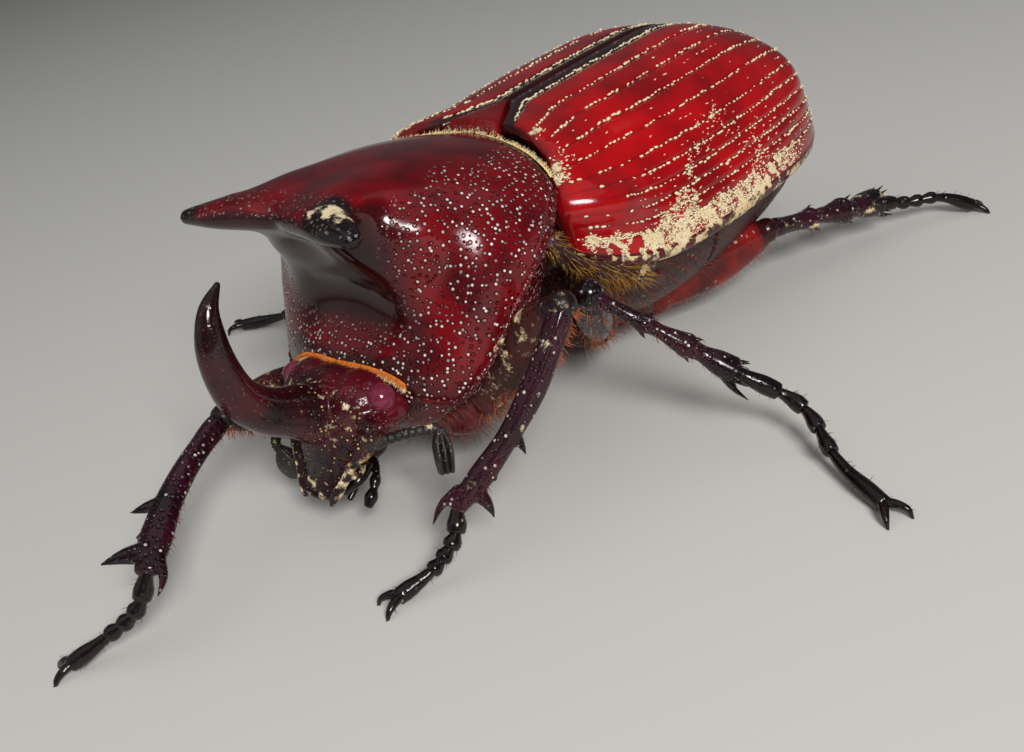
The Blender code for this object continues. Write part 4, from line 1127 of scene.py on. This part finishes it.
def pronotum_masks(points, normals):
    """Punctures, darkness and mud of the pronotum and its horn."""
    x, y, z = points.T
    cloud = waves(points, 3.0, SEED + 31)
    fine = waves(points, 0.8, SEED + 32)
    lobe = smoothstep(-11.2, -12.6, y) * smoothstep(6.4, 7.2, z)
    flank = smoothstep(3.2, 5.0, np.abs(x) + 0.35 * cloud - 0.28 * (z - 6))
    hollow = smoothstep(5.6, 3.4, np.abs(x)) * smoothstep(0.9, 2.4, z) * smoothstep(-8.0, -9.4, y)
    hollow *= smoothstep(0.75, 0.4, normals[:, 2])
    collar = smoothstep(2.6, 1.0, z + 0.3 * cloud) * smoothstep(-9.0, -10.0, y)
    pits = np.maximum(flank, collar) * (1 - hollow) * smoothstep(-3.4, -2.2, z)
    pits = np.maximum(pits * (1 - lobe), 0.22 * lobe * smoothstep(0.1, 0.5, normals[:, 2]))
    tip = smoothstep(4.0, 5.2, np.abs(x)) * lobe
    # Faces under the horn; their darkening below is painted shade
    under = smoothstep(0.2, -0.3, normals[:, 2]) * smoothstep(5.2, 6.6, z) * smoothstep(-8.6, -10, y)
    rim = smoothstep(0.7, 0.2, normals[:, 2]) * smoothstep(-12.0, -12.8, y) * (z > 6)
    front_edge = smoothstep(0.75, 0.3, z) * smoothstep(-11.0, -11.7, y)
    base_edge = smoothstep(-0.75, -0.25, y - BASE_BOW * np.abs(x / 7) ** BOW_POWER)
    belly = smoothstep(-1.0, -3.0, z)
    # Left lobe and the stem flank just behind it: the lobe is black, the darker flank is painted shade
    left_lobe_and_shade = smoothstep(2.3, 3.1, x) * smoothstep(-11.4, -12.1, y + 0.2 * cloud)
    # The hollow under the horn is darkened as painted shade
    dark = np.maximum.reduce((tip, 0.9 * under, 0.85 * rim, 0.8 * front_edge, 0.6 * base_edge,
                              0.85 * hollow, 0.55 * belly, 0.97 * left_lobe_and_shade * (z > 5)))
    patch = np.exp(-((x - 4.1) / 1.5) ** 4 - ((y + 13.2) / 0.8) ** 4) * (normals[:, 2] > 0.0)
    speck = np.exp(-((x + 5.3) / 0.6) ** 2 - ((y + 13.9) / 0.5) ** 2) * (normals[:, 2] > 0.2)
    crumbs = smoothstep(0.2, 0.7, fine)
    dust = np.maximum.reduce(((0.6 + 0.16 * fine) * patch, 0.42 * speck, 0.4 * base_edge * (z > 3),
                              0.44 * front_edge * crumbs, 0.3 * rim * crumbs))
    return {"pits": pits, "dark": dark, "dust": dust}


def margin_bead(material):
    """Raised bead along the side margins of the pronotum."""
    shapes = []
    stations = np.linspace(-0.3, -12.1, 90)
    for side in (-1, 1):
        line = profile(PRONOTUM_MARGIN, stations)
        part = -stations / PRONOTUM_LENGTH
        y = stations + BASE_BOW * (1 - part) + FRONT_BOW * part
        radius = 0.17 + 0.03 * np.sin(np.arange(90) * 1.9)
        rows = np.stack((side * (line[:, 0] - 0.02), y, line[:, 1] + 0.02, radius, radius), axis=-1)
        shapes.append(tube(rows, 12, 240))
    made = joined("pronotum_margin_bead", shapes)
    points = body_points(made)
    paint(made, pits=0.2, dark=0.35, dust=0.32 + 0.2 * waves(points, 0.8, SEED + 8))
    return settle(made, material, "pronotum")


def head_shell(grain):
    """Head capsule with clypeus, cheeks, brow plates and the curved horn as one skin."""
    shapes = [tube(CAPSULE, 56, 46, (0, -0.4, 0.9)), tube(HEAD_HORN, 40, 70, (1, 0, 0), (0.3, 0.8))]
    shapes.append(ellipsoid(*SKULL))
    for side in (-1, 1):
        shapes.append(tube(mirrored(CLYPEUS_RIDGE, side), 16, 30))
        shapes.append(tube(mirrored(BROW, side), 20, 22))
        shapes += swellings(HEAD_SWELLINGS, side)
    shapes += [tube(LIP, 14, 20), tube(CROWN_RIDGE, 12, 24)]
    made = fused("head_shell", shapes, grain, 5)
    paint(made, **head_masks(body_points(made)))
    return made


def head_masks(points):
    """Punctures, darkness and mud of the head from its points."""
    x, y, z = points.T
    cloud = waves(points, 2.0, SEED + 41)
    horn = smoothstep(-14.6, -16.4, y) * smoothstep(-3.2, -2.2, z)
    clypeus = smoothstep(-2.8, -3.8, z)
    behind = smoothstep(-13.1, -12.7, y)
    crown = smoothstep(-14.3, -13.5, y + 0.3 * cloud) * (1 - clypeus)
    pits = np.clip(1 - 0.93 * horn - behind - 0.8 * crown, 0, 1)
    tip = smoothstep(2.0, 4.5, z)
    dark = np.maximum.reduce((0.85 * clypeus, 0.9 * tip * horn, 0.5 * horn,
                              (0.5 + 0.25 * cloud) * (1 - crown), 0.05 * crown))
    edge = smoothstep(0.78, 1.0, np.abs(x) / (0.5 + 0.6 * (z + 6.6))) * clypeus
    lip = smoothstep(-15.3, -15.7, y) * clypeus
    frons = smoothstep(-13.2, -14.0, y) * (1 - clypeus) * (1 - horn)
    fine = waves(points, 0.7, SEED + 42)
    dust = np.maximum.reduce((0.5 * edge + 0.1 * fine * edge, 0.44 * lip + 0.1 * fine * lip,
                              0.4 * frons + 0.12 * fine * frons))
    return {"pits": pits, "dark": dark, "dust": dust}


def eye_ball(side):
    """Eye as a smooth ball."""
    x, y, z = EYE_PLACE
    name = "eye_ball_left" if side > 0 else "eye_ball_right"
    return joined(name, [ellipsoid((side * x, y, z), (EYE_RADIUS,) * 3, sides=48, rings=28)])


def antenna_shape(side):
    """Antenna: thick first joint, small round joints and a club of three leaves."""
    route, club = FEELERS[side]
    rows = through(route, 60)
    shapes = []
    for index, (first, last) in enumerate(zip(FEELER_STOPS, FEELER_STOPS[1:])):
        low = rows[int(first * 59)]
        high = rows[int(last * 59)]
        middle = (low + high) / 2
        stout = 1.15 if index == 0 else 1.0
        bead = [(*low[:3], low[3] * 0.62, low[4] * 0.62),
                (*middle[:3], middle[3] * stout, middle[4] * stout),
                (*high[:3], high[3] * 0.85, high[4] * 0.85)]
        shapes.append(tube(bead, 16, 12))
    start = np.array(club[0])
    end = np.array(club[1])
    axis = unit(end - start)
    out = unit(np.cross(axis, (0.4, 0.8, 0.3)))
    flat = np.cross(axis, out)
    for leaf in (-1, 0, 1):
        shift = flat * 0.27 * leaf
        rows = [(*(start + (end - start) * part + shift * share), wide, thick)
                for part, wide, thick, share in LEAF]
        shapes.append(tube(rows, 20, 20, flat))
    shapes = [(points * (side, 1, 1), faces) for points, faces in shapes]
    name = "feeler_left" if side > 0 else "feeler_right"
    return joined(name, shapes)


def mouth_shape():
    """Lower lip, jaws and the two pairs of palps."""
    shapes = [ellipsoid(*ball) for ball in LOWER_LIP]
    for side in (-1, 1):
        shapes.append(tube(mirrored(JAW, side), 16, 18))
        for low, high, fat in zip(PALP, PALP[1:], PALP_THICKNESS):
            middle = (np.array(low) + np.array(high)) / 2
            rows = [(*low, fat * 0.55, fat * 0.55), (*middle, fat, fat), (*high, fat * 0.7, fat * 0.7)]
            shapes.append(tube(mirrored(rows, side), 14, 14))
        shapes.append(tube(mirrored(SHORT_PALP, side), 12, 12))
    return joined("mouth_shell", shapes)


def leg_axes(knee, ankle):
    """Direction of a shin with its side and up vectors."""
    direction = unit(ankle - knee)
    side = unit(np.cross(direction, (0, 0, 1)))
    return direction, side, np.cross(side, direction)


def femur_shell(name, hip, knee, stout, grain):
    """Thigh with its trochanter and the round knee, its points and their nearness to the knee."""
    flat = unit(np.cross(knee - hip, (0, 0, 1)))
    span = knee - hip
    up = unit(np.cross(flat, span))
    rows = [(*(hip + span * part), wide * stout, thick * stout) for part, wide, thick in THIGH_FORM]
    shapes = [tube(rows, 40, 50, flat)]
    shapes.append(ellipsoid(hip + span * 0.1 - up * 0.5 * stout, (0.85, 0.85, 0.85)))
    shapes.append(ellipsoid(knee - unit(span) * 0.15, (0.78 * stout,) * 3))
    made = fused(name, shapes, grain, 5)
    points = body_points(made)
    part = (points - hip) @ span / (span @ span)
    return made, points, smoothstep(0.86, 0.93, part)


def front_shin(name, knee, ankle, outward, worn, grain):
    """Digging shin: flat and widening, three outer teeth and an inner spur at the tip.

    worn shortens the teeth and narrows the end, as wear does. The skin comes with its points
    and how far out they are.
    """
    direction = unit(ankle - knee)
    out = unit(outward - direction * (outward @ direction))
    flat = np.cross(direction, out)
    rows = []
    for part, wide, thick in FRONT_SHIN_FORM:
        place = knee + (ankle - knee) * part + out * SHIN_BOW * math.sin(math.pi * part)
        rows.append((*place, wide * (worn if part > 0.5 else 1), thick))

    def keeled(part, angle):
        """Low keel along the upper face of the shin."""
        return 1 + 0.12 * np.exp(-((angle - math.pi / 2) / 0.25) ** 2) + 0 * part

    shapes = [tube(rows, 40, 60, flat, section=keeled)]
    for part, reach, lean, fat in TEETH:
        root = knee + (ankle - knee) * part + out * 0.4
        tip = root + (out * reach + direction * reach * lean) * worn
        shapes.append(spine(root, tip, fat * worn, -direction * 0.1 + out * 0.06, 14, 14))
    root = knee + (ankle - knee) * 0.93 - out * 0.3
    lean = 0.75 if worn == 1 else 0.3
    shapes.append(spine(root, root - out * lean + direction * 2.1, 0.32, -out * 0.24, 12, 12))
    made = fused(name, shapes, grain, 3)
    points = body_points(made)
    return made, points, (points - knee) @ out


def walking_shin(name, knee, ankle, stout, grain):
    """Shin of a middle or hind leg, with its points and how far down the shin they are."""
    direction, side, up = leg_axes(knee, ankle)
    rows = [(*(knee + (ankle - knee) * part), wide * stout, thick * stout)
            for part, wide, thick in SHIN_FORM]
    body = fused(name + " body", [tube(rows, 40, 90, up, (0.6, 0.15))], grain, 2)
    shapes = []
    rng = np.random.default_rng(SEED + len(name))
    for part, reach, count in CRESTS:
        for k in range(count):
            angle = math.pi * (k / (count - 1) * 1.7 - 0.35)
            out = side * math.cos(angle) + up * math.sin(angle)
            root = knee + (ankle - knee) * part + out * 0.45 * stout
            tip = root + (out * reach * 0.55 + direction * reach * rng.uniform(0.8, 1.15)) * stout
            shapes.append(spine(root, tip, 0.13, out * 0.03, 7, 6))
    for turn in (-1, 1):
        root = knee + (ankle - knee) * 0.95 - up * 0.38 * stout + side * 0.28 * turn
        tip = root + direction * 1.7 - up * 0.4 + side * 0.35 * turn
        shapes.append(spine(root, tip, 0.24, -up * 0.12, 10, 10))
    spines = joined(name + " spines", shapes)
    with_body = bpy.data.meshes.new(name)
    bm = bmesh.new()
    bm.from_mesh(body.data)
    bm.from_mesh(spines.data)
    bm.to_mesh(with_body)
    bm.free()
    for used in (body, spines):
        bpy.data.objects.remove(used)
    made = bpy.data.objects.new(name, with_body)
    bpy.context.scene.collection.objects.link(made)
    with_body.shade_smooth()
    points = body_points(made)
    part = (points - knee) @ direction / np.linalg.norm(ankle - knee)
    return made, points, part


def foot_shapes(route):
    """Foot: four short flared joints, a long last one and two curved claws."""
    rows = through([(*place, 0.3, 0.3) for place in route], 200)[:, :3]
    shapes = []
    first = 0.0
    for length, fat in FOOT_JOINTS:
        stations = []
        for part, radius in JOINT_FLARE:
            place = rows[int(199 * min(first + length * part, 1))]
            stations.append((*place, fat * radius, fat * radius))
        shapes.append(tube(stations, 20, 16, (0, 0, 1), (0.5, 0.35)))
        first += length
    tip = rows[-1]
    direction = unit(tip - rows[160])
    side = unit(np.cross(direction, (0, 0, 1)))
    for turn in (-1, 1):
        root = tip - direction * 0.4
        claw = [(*root, 0.26, 0.26),
                (*(root + direction * 0.62 + side * 0.36 * turn + (0, 0, 0.16)), 0.22, 0.2),
                (*(root + direction * 1.05 + side * 0.6 * turn + (0, 0, 0.06)), 0.15, 0.14),
                (*(root + direction * 1.25 + side * 0.66 * turn - (0, 0, 0.36)), 0.05, 0.05)]
        shapes.append(tube(claw, 14, 18))
    return shapes


def foot_shell(name, route):
    """Foot with its underside level with the floor where it meets it."""
    made = joined(name, foot_shapes(route))
    points = body_points(made)
    points[:, 2] = np.maximum(points[:, 2], -MARGIN_HEIGHT)
    move_points(made, points)
    return made


def trunk_rings(y, inset, depth, sides):
    """Sections of the body under the wing cases."""
    y = np.asarray(y, float)[:, None]
    wide = case_half_width(y, inset)
    margin = case_margin(y)
    rise = case_top(y, inset) - margin
    angle = 2 * math.pi * np.arange(sides)[None, :] / sides
    turn = np.sin(angle)
    flank = np.where(turn > 0, SECTION_SIDE, 0.9)
    x = wide * np.sign(np.cos(angle)) * np.abs(np.cos(angle)) ** flank
    z = (margin + rise * np.clip(turn, 0, None) ** SECTION_TOP
         - np.asarray(depth, float)[:, None] * np.clip(-turn, 0, None) ** 0.8)
    return np.stack((x, y + 0 * x, z), axis=-1)


def thorax_shell(grain):
    """Middle and hind thorax with its neck, coxae and the groove along the middle."""
    inset = CASE_WALL + GAP
    y = np.linspace(0.4, 8.25, 40)
    ring = trunk_rings(y, inset, profile(BELLY, y), 96)
    shapes = [closed_rings(ring, (0, 0.35, 1), (0, 8.3, 1)), tube(NECK, 40, 10)]
    for side in (-1, 1):
        shapes += swellings(COXAE, side)
        shapes.append(tube(mirrored(NECK_FOLD, side), 18, 24, (1, 0, 0)))
        shapes.append(tube(mirrored(CHEST_SEAM, side), 12, 20))
    made = fused("thorax_shell", shapes, grain, 4)
    points = body_points(made)
    cloud = waves(points, 2.4, SEED + 51)
    groove = np.exp(-(points[:, 0] / 0.25) ** 2) * (points[:, 2] < -3)
    points[:, 2] += 0.25 * groove
    move_points(made, points)
    paint(made, pits=0.7, dark=0.35 + 0.2 * cloud, dust=0.3 + 0.14 * cloud)
    return made


def abdomen_shell():
    """Abdomen with the overlapping belly plates as steps."""
    inset = CASE_WALL + GAP
    end = CASE_LENGTH - inset - 0.05
    part = np.linspace(0, 1, 220, endpoint=False)
    y = 8.5 + (end - 8.5) * np.sin(math.pi / 2 * part)
    within = (part * BELLY_PLATES) % 1
    step = 0.22 * np.exp(-(within / 0.1) ** 2) + 0.1 * within ** 4
    ring = trunk_rings(y, inset, np.maximum(profile(BELLY, y) - step, 0.3), 120)
    tip = (0, end, float(case_margin(end)))
    made = make_object("abdomen_shell", *closed_rings(ring, (0, 8.45, 1), tip))
    turn_outwards(made)
    points = body_points(made)
    cloud = waves(points, 2.4, SEED + 52)
    paint(made, pits=0.5 + 0.3 * cloud, dark=0.25 + 0.25 * cloud, dust=0.18 + 0.12 * cloud)
    return made


class CoelosisSettings(bpy.types.PropertyGroup):
    """Sizes and finishes of the beetle that a user may change."""

    plate_grain: FloatProperty(name="Plate grain", description="Mesh size of the pronotum, in mm",
                               default=0.13, min=0.05, max=0.5)
    head_grain: FloatProperty(name="Head grain", description="Mesh size of the head, in mm",
                              default=0.075, min=0.03, max=0.3)
    leg_grain: FloatProperty(name="Leg grain", description="Mesh size of the legs, in mm",
                             default=0.085, min=0.04, max=0.3)
    hair_length: FloatProperty(name="Hair length", description="Longest body hair, in mm",
                               default=1.2, min=0.2, max=3.0)
    floor_colour: FloatVectorProperty(name="Floor", description="Colour of the floor",
                                      subtype="COLOR", default=linear("#d8d6d0")[:3])


def finishes():
    """Materials of the beetle, made once and shared by its pieces."""
    if "coelosis crimson elytron" in bpy.data.materials:
        return bpy.data.materials
    # Wing cases: clear crimson cuticle, polished, over darker mottling
    chitin("coelosis crimson elytron", "#b5080f", "#84060c", 0.15, fleck_share=0.0, mottle_size=3.2)
    # Pronotum: deep maroon, polished, with ring-walled punctures whose pale flecks are partly dust and
    # partly painted glints
    chitin("coelosis maroon pronotum", "#78040f", "#4c030b", 0.13, pit_size=0.27, pit_depth=0.2,
           fleck="#f6e4dc", fleck_share=0.8, pitted_roughness=0.06)
    # Head: coarsely punctured, dusty black-brown
    chitin("coelosis rugose head", "#5e101c", "#360a12", 0.15, pit_size=0.22, pit_depth=0.1,
           fleck="#e0bd84", fleck_share=0.5)
    # Legs: purple-black, polished, with rows of fine punctures
    chitin("coelosis leg", "#340c1c", "#16070c", 0.13, pit_size=0.28, pit_depth=0.1,
           fleck="#e6d6cc", fleck_share=0.3)
    # Hind thighs are a clearer red under the same gloss
    chitin("coelosis red thigh", "#8c1710", "#4a0d0c", 0.2, pit_size=0.4, pit_depth=0.03,
           fleck_share=0.05)
    # Feet and claws: nearly black, wet-looking
    chitin("coelosis black foot", "#16090b", "#0c0607", 0.16, pit_size=0.3, pit_depth=0.03,
           fleck_share=0.1)
    # Feelers and mouthparts: dusty grey-black
    chitin("coelosis feeler", "#1d1614", "#322a26", 0.38, pit_size=0.16, pit_depth=0.02,
           fleck="#8d8478", fleck_share=0.4)
    # Underside: red-brown, half dull
    chitin("coelosis underside", "#4a1710", "#2b0f0c", 0.34, pit_size=0.34, pit_depth=0.05,
           fleck="#a8814e", fleck_share=0.25)
    # Eye: smooth rose-brown lens surface
    chitin("coelosis eye", "#7c2a40", "#451424", 0.06, pit_size=0.05, pit_depth=0.004,
           fleck_share=0.0, grain_depth=0.001)
    dull_stuff("coelosis cream mud", "#fbf1d6", "#dcc38c", 0.9)
    dull_stuff("coelosis golden hair", "#d9a441", "#8a5a1e", 0.45)
    dull_stuff("coelosis rust hair", "#a8401c", "#5a1e10", 0.45)
    dull_stuff("coelosis orange hair", "#e07a45", "#8a3a1c", 0.45)
    dull_stuff("coelosis amber fringe", "#f59a38", "#c9541a", 0.5, 0.15)
    dull_stuff("coelosis cream fringe", "#fff0c0", "#f3c878", 0.5, 0.15)
    dull_stuff("coelosis black hair", "#1c1210", "#0c0808", 0.4)
    return bpy.data.materials


class COELOSIS_OT_wing_cases(bpy.types.Operator):
    """Make both wing cases with the mud in their striae, and the scutellum"""

    bl_idname = "coelosis.wing_cases"
    bl_label = "Wing cases"

    def execute(self, context):
        stock = finishes()
        for name, side in SIDES.items():
            case = elytron(f"wing_case_{name}", side)
            settle(case, stock["coelosis crimson elytron"], "elytra", f"elytron_{name}")
            stria_crumbs(f"stria_mud_{name}", side, stock["coelosis cream mud"])
            heap_crumbs(f"case_mud_{name}", side, stock["coelosis cream mud"])
        plate = scutellum_plate()
        paint(plate, dark=0.55, pits=0.15, dust=0.45 * smoothstep(0.7, 0.2, body_points(plate)[:, 1]))
        settle(plate, stock["coelosis crimson elytron"], "elytra", "scutellum")
        return {"FINISHED"}


class COELOSIS_OT_pronotum(bpy.types.Operator):
    """Make the pronotum with its forked horn and margin beads"""

    bl_idname = "coelosis.pronotum"
    bl_label = "Pronotum"

    def execute(self, context):
        stock = finishes()
        shell = pronotum_shell(context.scene.coelosis.plate_grain)
        settle(shell, stock["coelosis maroon pronotum"], "pronotum", "pronotum", "pronotum_horn")
        margin_bead(stock["coelosis maroon pronotum"])
        return {"FINISHED"}


class COELOSIS_OT_head(bpy.types.Operator):
    """Make the head with its horn, eyes, feelers and mouthparts"""

    bl_idname = "coelosis.head"
    bl_label = "Head"

    def execute(self, context):
        stock = finishes()
        shell = head_shell(context.scene.coelosis.head_grain)
        settle(shell, stock["coelosis rugose head"], "head", "head", "head_horn")
        for name, side in SIDES.items():
            settle(eye_ball(side), stock["coelosis eye"], "eye", f"eye_{name}")
            feeler = antenna_shape(side)
            cloud = waves(body_points(feeler), 0.8, SEED + 61)
            paint(feeler, pits=1, dark=0, dust=0.3 + 0.16 * cloud)
            settle(feeler, stock["coelosis feeler"], "antenna", f"antenna_{name}")
        mouth = mouth_shape()
        paint(mouth, pits=0.1, dark=0.5, dust=0.2 + 0.1 * waves(body_points(mouth), 1.0, SEED + 62))
        settle(mouth, stock["coelosis black foot"], "antenna", "mouthparts")
        return {"FINISHED"}


class COELOSIS_OT_legs(bpy.types.Operator):
    """Make the six legs with their teeth, spines and claws"""

    bl_idname = "coelosis.legs"
    bl_label = "Legs"

    def execute(self, context):
        stock = finishes()
        grain = context.scene.coelosis.leg_grain
        for name, (hip, knee, route) in LEGS.items():
            hip = np.array(hip)
            knee = np.array(knee)
            ankle = np.array(route[0])
            pair = name.split("_")[0]
            thigh_stout, shin_stout = STOUT[pair]
            thigh, points, joint = femur_shell(f"thigh_{name}", hip, knee, thigh_stout, grain)
            cloud = waves(points, 1.6, SEED + 71)
            paint(thigh, pits=0.5, dark=joint * 0.9, dust=THIGH_MUD[pair] + 0.14 * cloud * (1 - joint))
            settle(thigh, stock[THIGH_LOOK[pair]], "leg", f"femur_{name}")
            if pair == "front":
                outward = np.array(TEETH_LEFT if name.endswith("left") else TEETH_RIGHT)
                worn = TEETH_WORN if name.endswith("left") else 1
                shin, points, away = front_shin(f"shin_{name}", knee, ankle, outward, worn, grain)
                dark = smoothstep(0.9, 1.6, away)
            else:
                shin, points, part = walking_shin(f"shin_{name}", knee, ankle, shin_stout, grain)
                dark = smoothstep(0.8, 0.95, part)
            cloud = waves(points, 1.4, SEED + 72)
            muddy = 0.36 if pair == "hind" else 0.24
            paint(shin, pits=0.85, dark=dark * 0.8, dust=muddy + 0.16 * cloud)
            settle(shin, stock["coelosis leg"], "leg", f"tibia_{name}")
            foot = foot_shell(f"foot_{name}", route)
            cloud = waves(body_points(foot), 1.2, SEED + 73)
            paint(foot, pits=0.3, dark=0, dust=0.22 + 0.14 * cloud)
            settle(foot, stock["coelosis black foot"], "tarsus", f"tarsus_{name}")
        return {"FINISHED"}


class COELOSIS_OT_underside(bpy.types.Operator):
    """Make the chest and the belly"""

    bl_idname = "coelosis.underside"
    bl_label = "Underside"

    def execute(self, context):
        stock = finishes()
        settle(thorax_shell(CHEST_GRAIN), stock["coelosis underside"], "underside", "thorax")
        settle(abdomen_shell(), stock["coelosis underside"], "underside", "abdomen")
        return {"FINISHED"}


class COELOSIS_OT_hair(bpy.types.Operator):
    """Grow the fringes and bristles as solid mesh"""

    bl_idname = "coelosis.hair"
    bl_label = "Hair"

    def execute(self, context):
        stock = finishes()
        longest = context.scene.coelosis.hair_length
        gold = stock["coelosis golden hair"]
        rust = stock["coelosis rust hair"]
        orange = stock["coelosis orange hair"]
        black = stock["coelosis black hair"]
        amber = stock["coelosis amber fringe"]
        cream = stock["coelosis cream fringe"]
        chest = bpy.data.objects["thorax_shell"]
        shell = bpy.data.objects["pronotum_shell"]
        grow("chest_hair", chest, HAIRS["chest"], lambda p, n: (n[:, 2] < 0.2) * (p[:, 2] < 1.5),
             (0, 0.5, -0.2), (0.5, longest), (0.012, 0.02), rust, "underside", SEED + 81)
        grow("shoulder_gap_hair", chest, HAIRS["shoulder_gap"],
             lambda p, n: (p[:, 1] < 2.5) * (np.abs(p[:, 0]) > 4.5) * (p[:, 2] > -1.5),
             (0, 0.9, -0.9), (0.4, 0.9), (0.012, 0.022), gold, "underside", SEED + 83)
        grow("breast_hair", shell, HAIRS["breast"],
             lambda p, n: (p[:, 2] < -2.2) * (n[:, 2] < 0.1),
             (0, 0.3, -0.2), (0.5, longest), (0.012, 0.02), rust, "pronotum", SEED + 85)
        rng = np.random.default_rng(SEED + 87)
        roots = edge_roots(*FRONT_EDGE, rng)
        fringe("front_margin_fringe", roots, (0, -0.6, -0.8), (0.2, 0.36), (0.02, 0.032), 0.2,
               amber, "pronotum", SEED + 88)
        fringe("front_margin_edge", roots + (0, -0.05, -0.16), (0, -0.5, -1), (0.2, 0.34),
               (0.018, 0.03), 0.2, cream, "pronotum", SEED + 86)
        roots = edge_roots(*BASE_EDGE, rng)
        fringe("base_margin_fringe", roots, (0, 0.9, 0.1), (0.15, 0.32), (0.015, 0.03), 0.25,
               cream, "pronotum", SEED + 89)
        for name, (_, knee, route) in LEGS.items():
            thigh = bpy.data.objects[f"thigh_{name}"]
            count = HAIRS["front_thigh" if name.startswith("front") else "thigh"]
            grow(f"thigh_hair_{name}", thigh, count, lambda p, n: (n[:, 2] < -0.35) * 1.0,
                 (0, 0, -0.4), (0.35, 0.8), (0.016, 0.026), orange, "leg", SEED + 90)
            shin = bpy.data.objects[f"shin_{name}"]
            start = np.array(knee)
            run = np.array(route[0]) - start

            def along_shaft(p, n, start=start, run=run):
                """Only the shaft of the shin, away from its teeth and knee."""
                part = (p - start) @ run / (run @ run)
                away = np.linalg.norm(p - start - part[:, None] * run, axis=1)
                return (part > 0.1) * (part < 0.92) * (away < 0.85) * (n[:, 2] < 0.3)

            grow(f"shin_hair_{name}", shin, HAIRS["shin"], along_shaft, tuple(unit(run) * 0.9),
                 (0.25, 0.5), (0.014, 0.02), rust, "leg", SEED + 91)
            foot = bpy.data.objects[f"foot_{name}"]
            grow(f"foot_hair_{name}", foot, HAIRS["foot"], lambda p, n: (p[:, 2] > -7.9) * 1.0,
                 tuple(unit(np.array(route[3]) - np.array(route[0])) * 0.8), (0.25, 0.45),
                 (0.012, 0.018), black, "tarsus", SEED + 92)
        skull = bpy.data.objects["head_shell"]
        grow("cheek_hair", skull, HAIRS["cheek"],
             lambda p, n: (np.abs(p[:, 0]) > 2.2) * (p[:, 2] < -2.2) * (p[:, 1] > -15.2),
             (0, -0.3, -0.2), (0.3, 0.6), (0.014, 0.022), rust, "head", SEED + 93)
        return {"FINISHED"}


class COELOSIS_OT_stage(bpy.types.Operator):
    """Set the floor, the soft studio light and the camera"""

    bl_idname = "coelosis.stage"
    bl_label = "Stage"

    def execute(self, context):
        scene = context.scene
        mesh = bpy.data.meshes.new("floor")
        corners = [(x * FLOOR_REACH, y * FLOOR_REACH, 0) for x, y in ((-1, -1), (1, -1), (1, 1), (-1, 1))]
        mesh.from_pydata(corners, [], [(0, 1, 2, 3)])
        floor = bpy.data.objects.new("floor", mesh)
        scene.collection.objects.link(floor)
        paper = bpy.data.materials.new("pale studio floor")
        paper.use_nodes = True
        shader = paper.node_tree.nodes["Principled BSDF"]
        shader.inputs["Base Color"].default_value = (*scene.coelosis.floor_colour, 1)
        shader.inputs["Roughness"].default_value = 0.9
        mesh.materials.append(paper)

        world = bpy.data.worlds.new("studio")
        scene.world = world
        world.use_nodes = True
        sky = world.node_tree.nodes["Background"]
        sky.inputs["Color"].default_value = linear(SKY)
        sky.inputs["Strength"].default_value = SKY_STRENGTH

        scene.view_settings.view_transform = "Standard"
        place = Vector(CAMERA_PLACE)
        turn = Matrix((CAMERA_RIGHT, CAMERA_UP, CAMERA_BACK)).transposed()
        view = bpy.data.cameras.new("photo view")
        view.lens = CAMERA_LENS
        view.sensor_width = CAMERA_SENSOR
        view.clip_start = 0.001
        view.clip_end = 10
        camera = bpy.data.objects.new("photo view", view)
        camera.matrix_world = (Matrix.Translation(Vector(metres(place)[0]))
                               @ turn.normalized().to_4x4())
        scene.collection.objects.link(camera)
        scene.camera = camera

        for name, spot, size, watts in LAMPS:
            lamp = bpy.data.lights.new(name, "AREA")
            lamp.shape = "SQUARE"
            lamp.size = size
            lamp.energy = watts
            holder = bpy.data.objects.new(name, lamp)
            at = Vector(metres(spot)[0])
            turn = (Vector(metres(LAMP_TARGET)[0]) - at).to_track_quat("-Z", "Y")
            holder.matrix_world = Matrix.Translation(at) @ turn.to_matrix().to_4x4()
            scene.collection.objects.link(holder)
        return {"FINISHED"}


class COELOSIS_PT_panel(bpy.types.Panel):
    """Buttons for the beetle's pieces"""

    bl_idname = "COELOSIS_PT_panel"
    bl_label = "Coelosis"
    bl_space_type = "VIEW_3D"
    bl_region_type = "UI"
    bl_category = "Coelosis"

    def draw(self, context):
        layout = self.layout
        for name in CoelosisSettings.__annotations__:
            layout.prop(context.scene.coelosis, name)
        for operator in OPERATORS:
            layout.operator(operator.bl_idname)


OPERATORS = (COELOSIS_OT_wing_cases, COELOSIS_OT_pronotum, COELOSIS_OT_head, COELOSIS_OT_legs,
             COELOSIS_OT_underside, COELOSIS_OT_hair, COELOSIS_OT_stage)
CLASSES = (CoelosisSettings, *OPERATORS, COELOSIS_PT_panel)


def register():
    """Register the classes and the settings."""
    for item in CLASSES:
        bpy.utils.register_class(item)
    bpy.types.Scene.coelosis = PointerProperty(type=CoelosisSettings)


def unregister():
    """Remove the settings and the classes."""
    del bpy.types.Scene.coelosis
    for item in reversed(CLASSES):
        bpy.utils.unregister_class(item)


def main():
    """Make every piece and set the stage."""
    register()
    bpy.ops.coelosis.wing_cases()
    bpy.ops.coelosis.pronotum()
    bpy.ops.coelosis.head()
    bpy.ops.coelosis.legs()
    bpy.ops.coelosis.underside()
    bpy.ops.coelosis.hair()
    bpy.ops.coelosis.stage()
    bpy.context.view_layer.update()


if __name__ == "__main__":
    main()
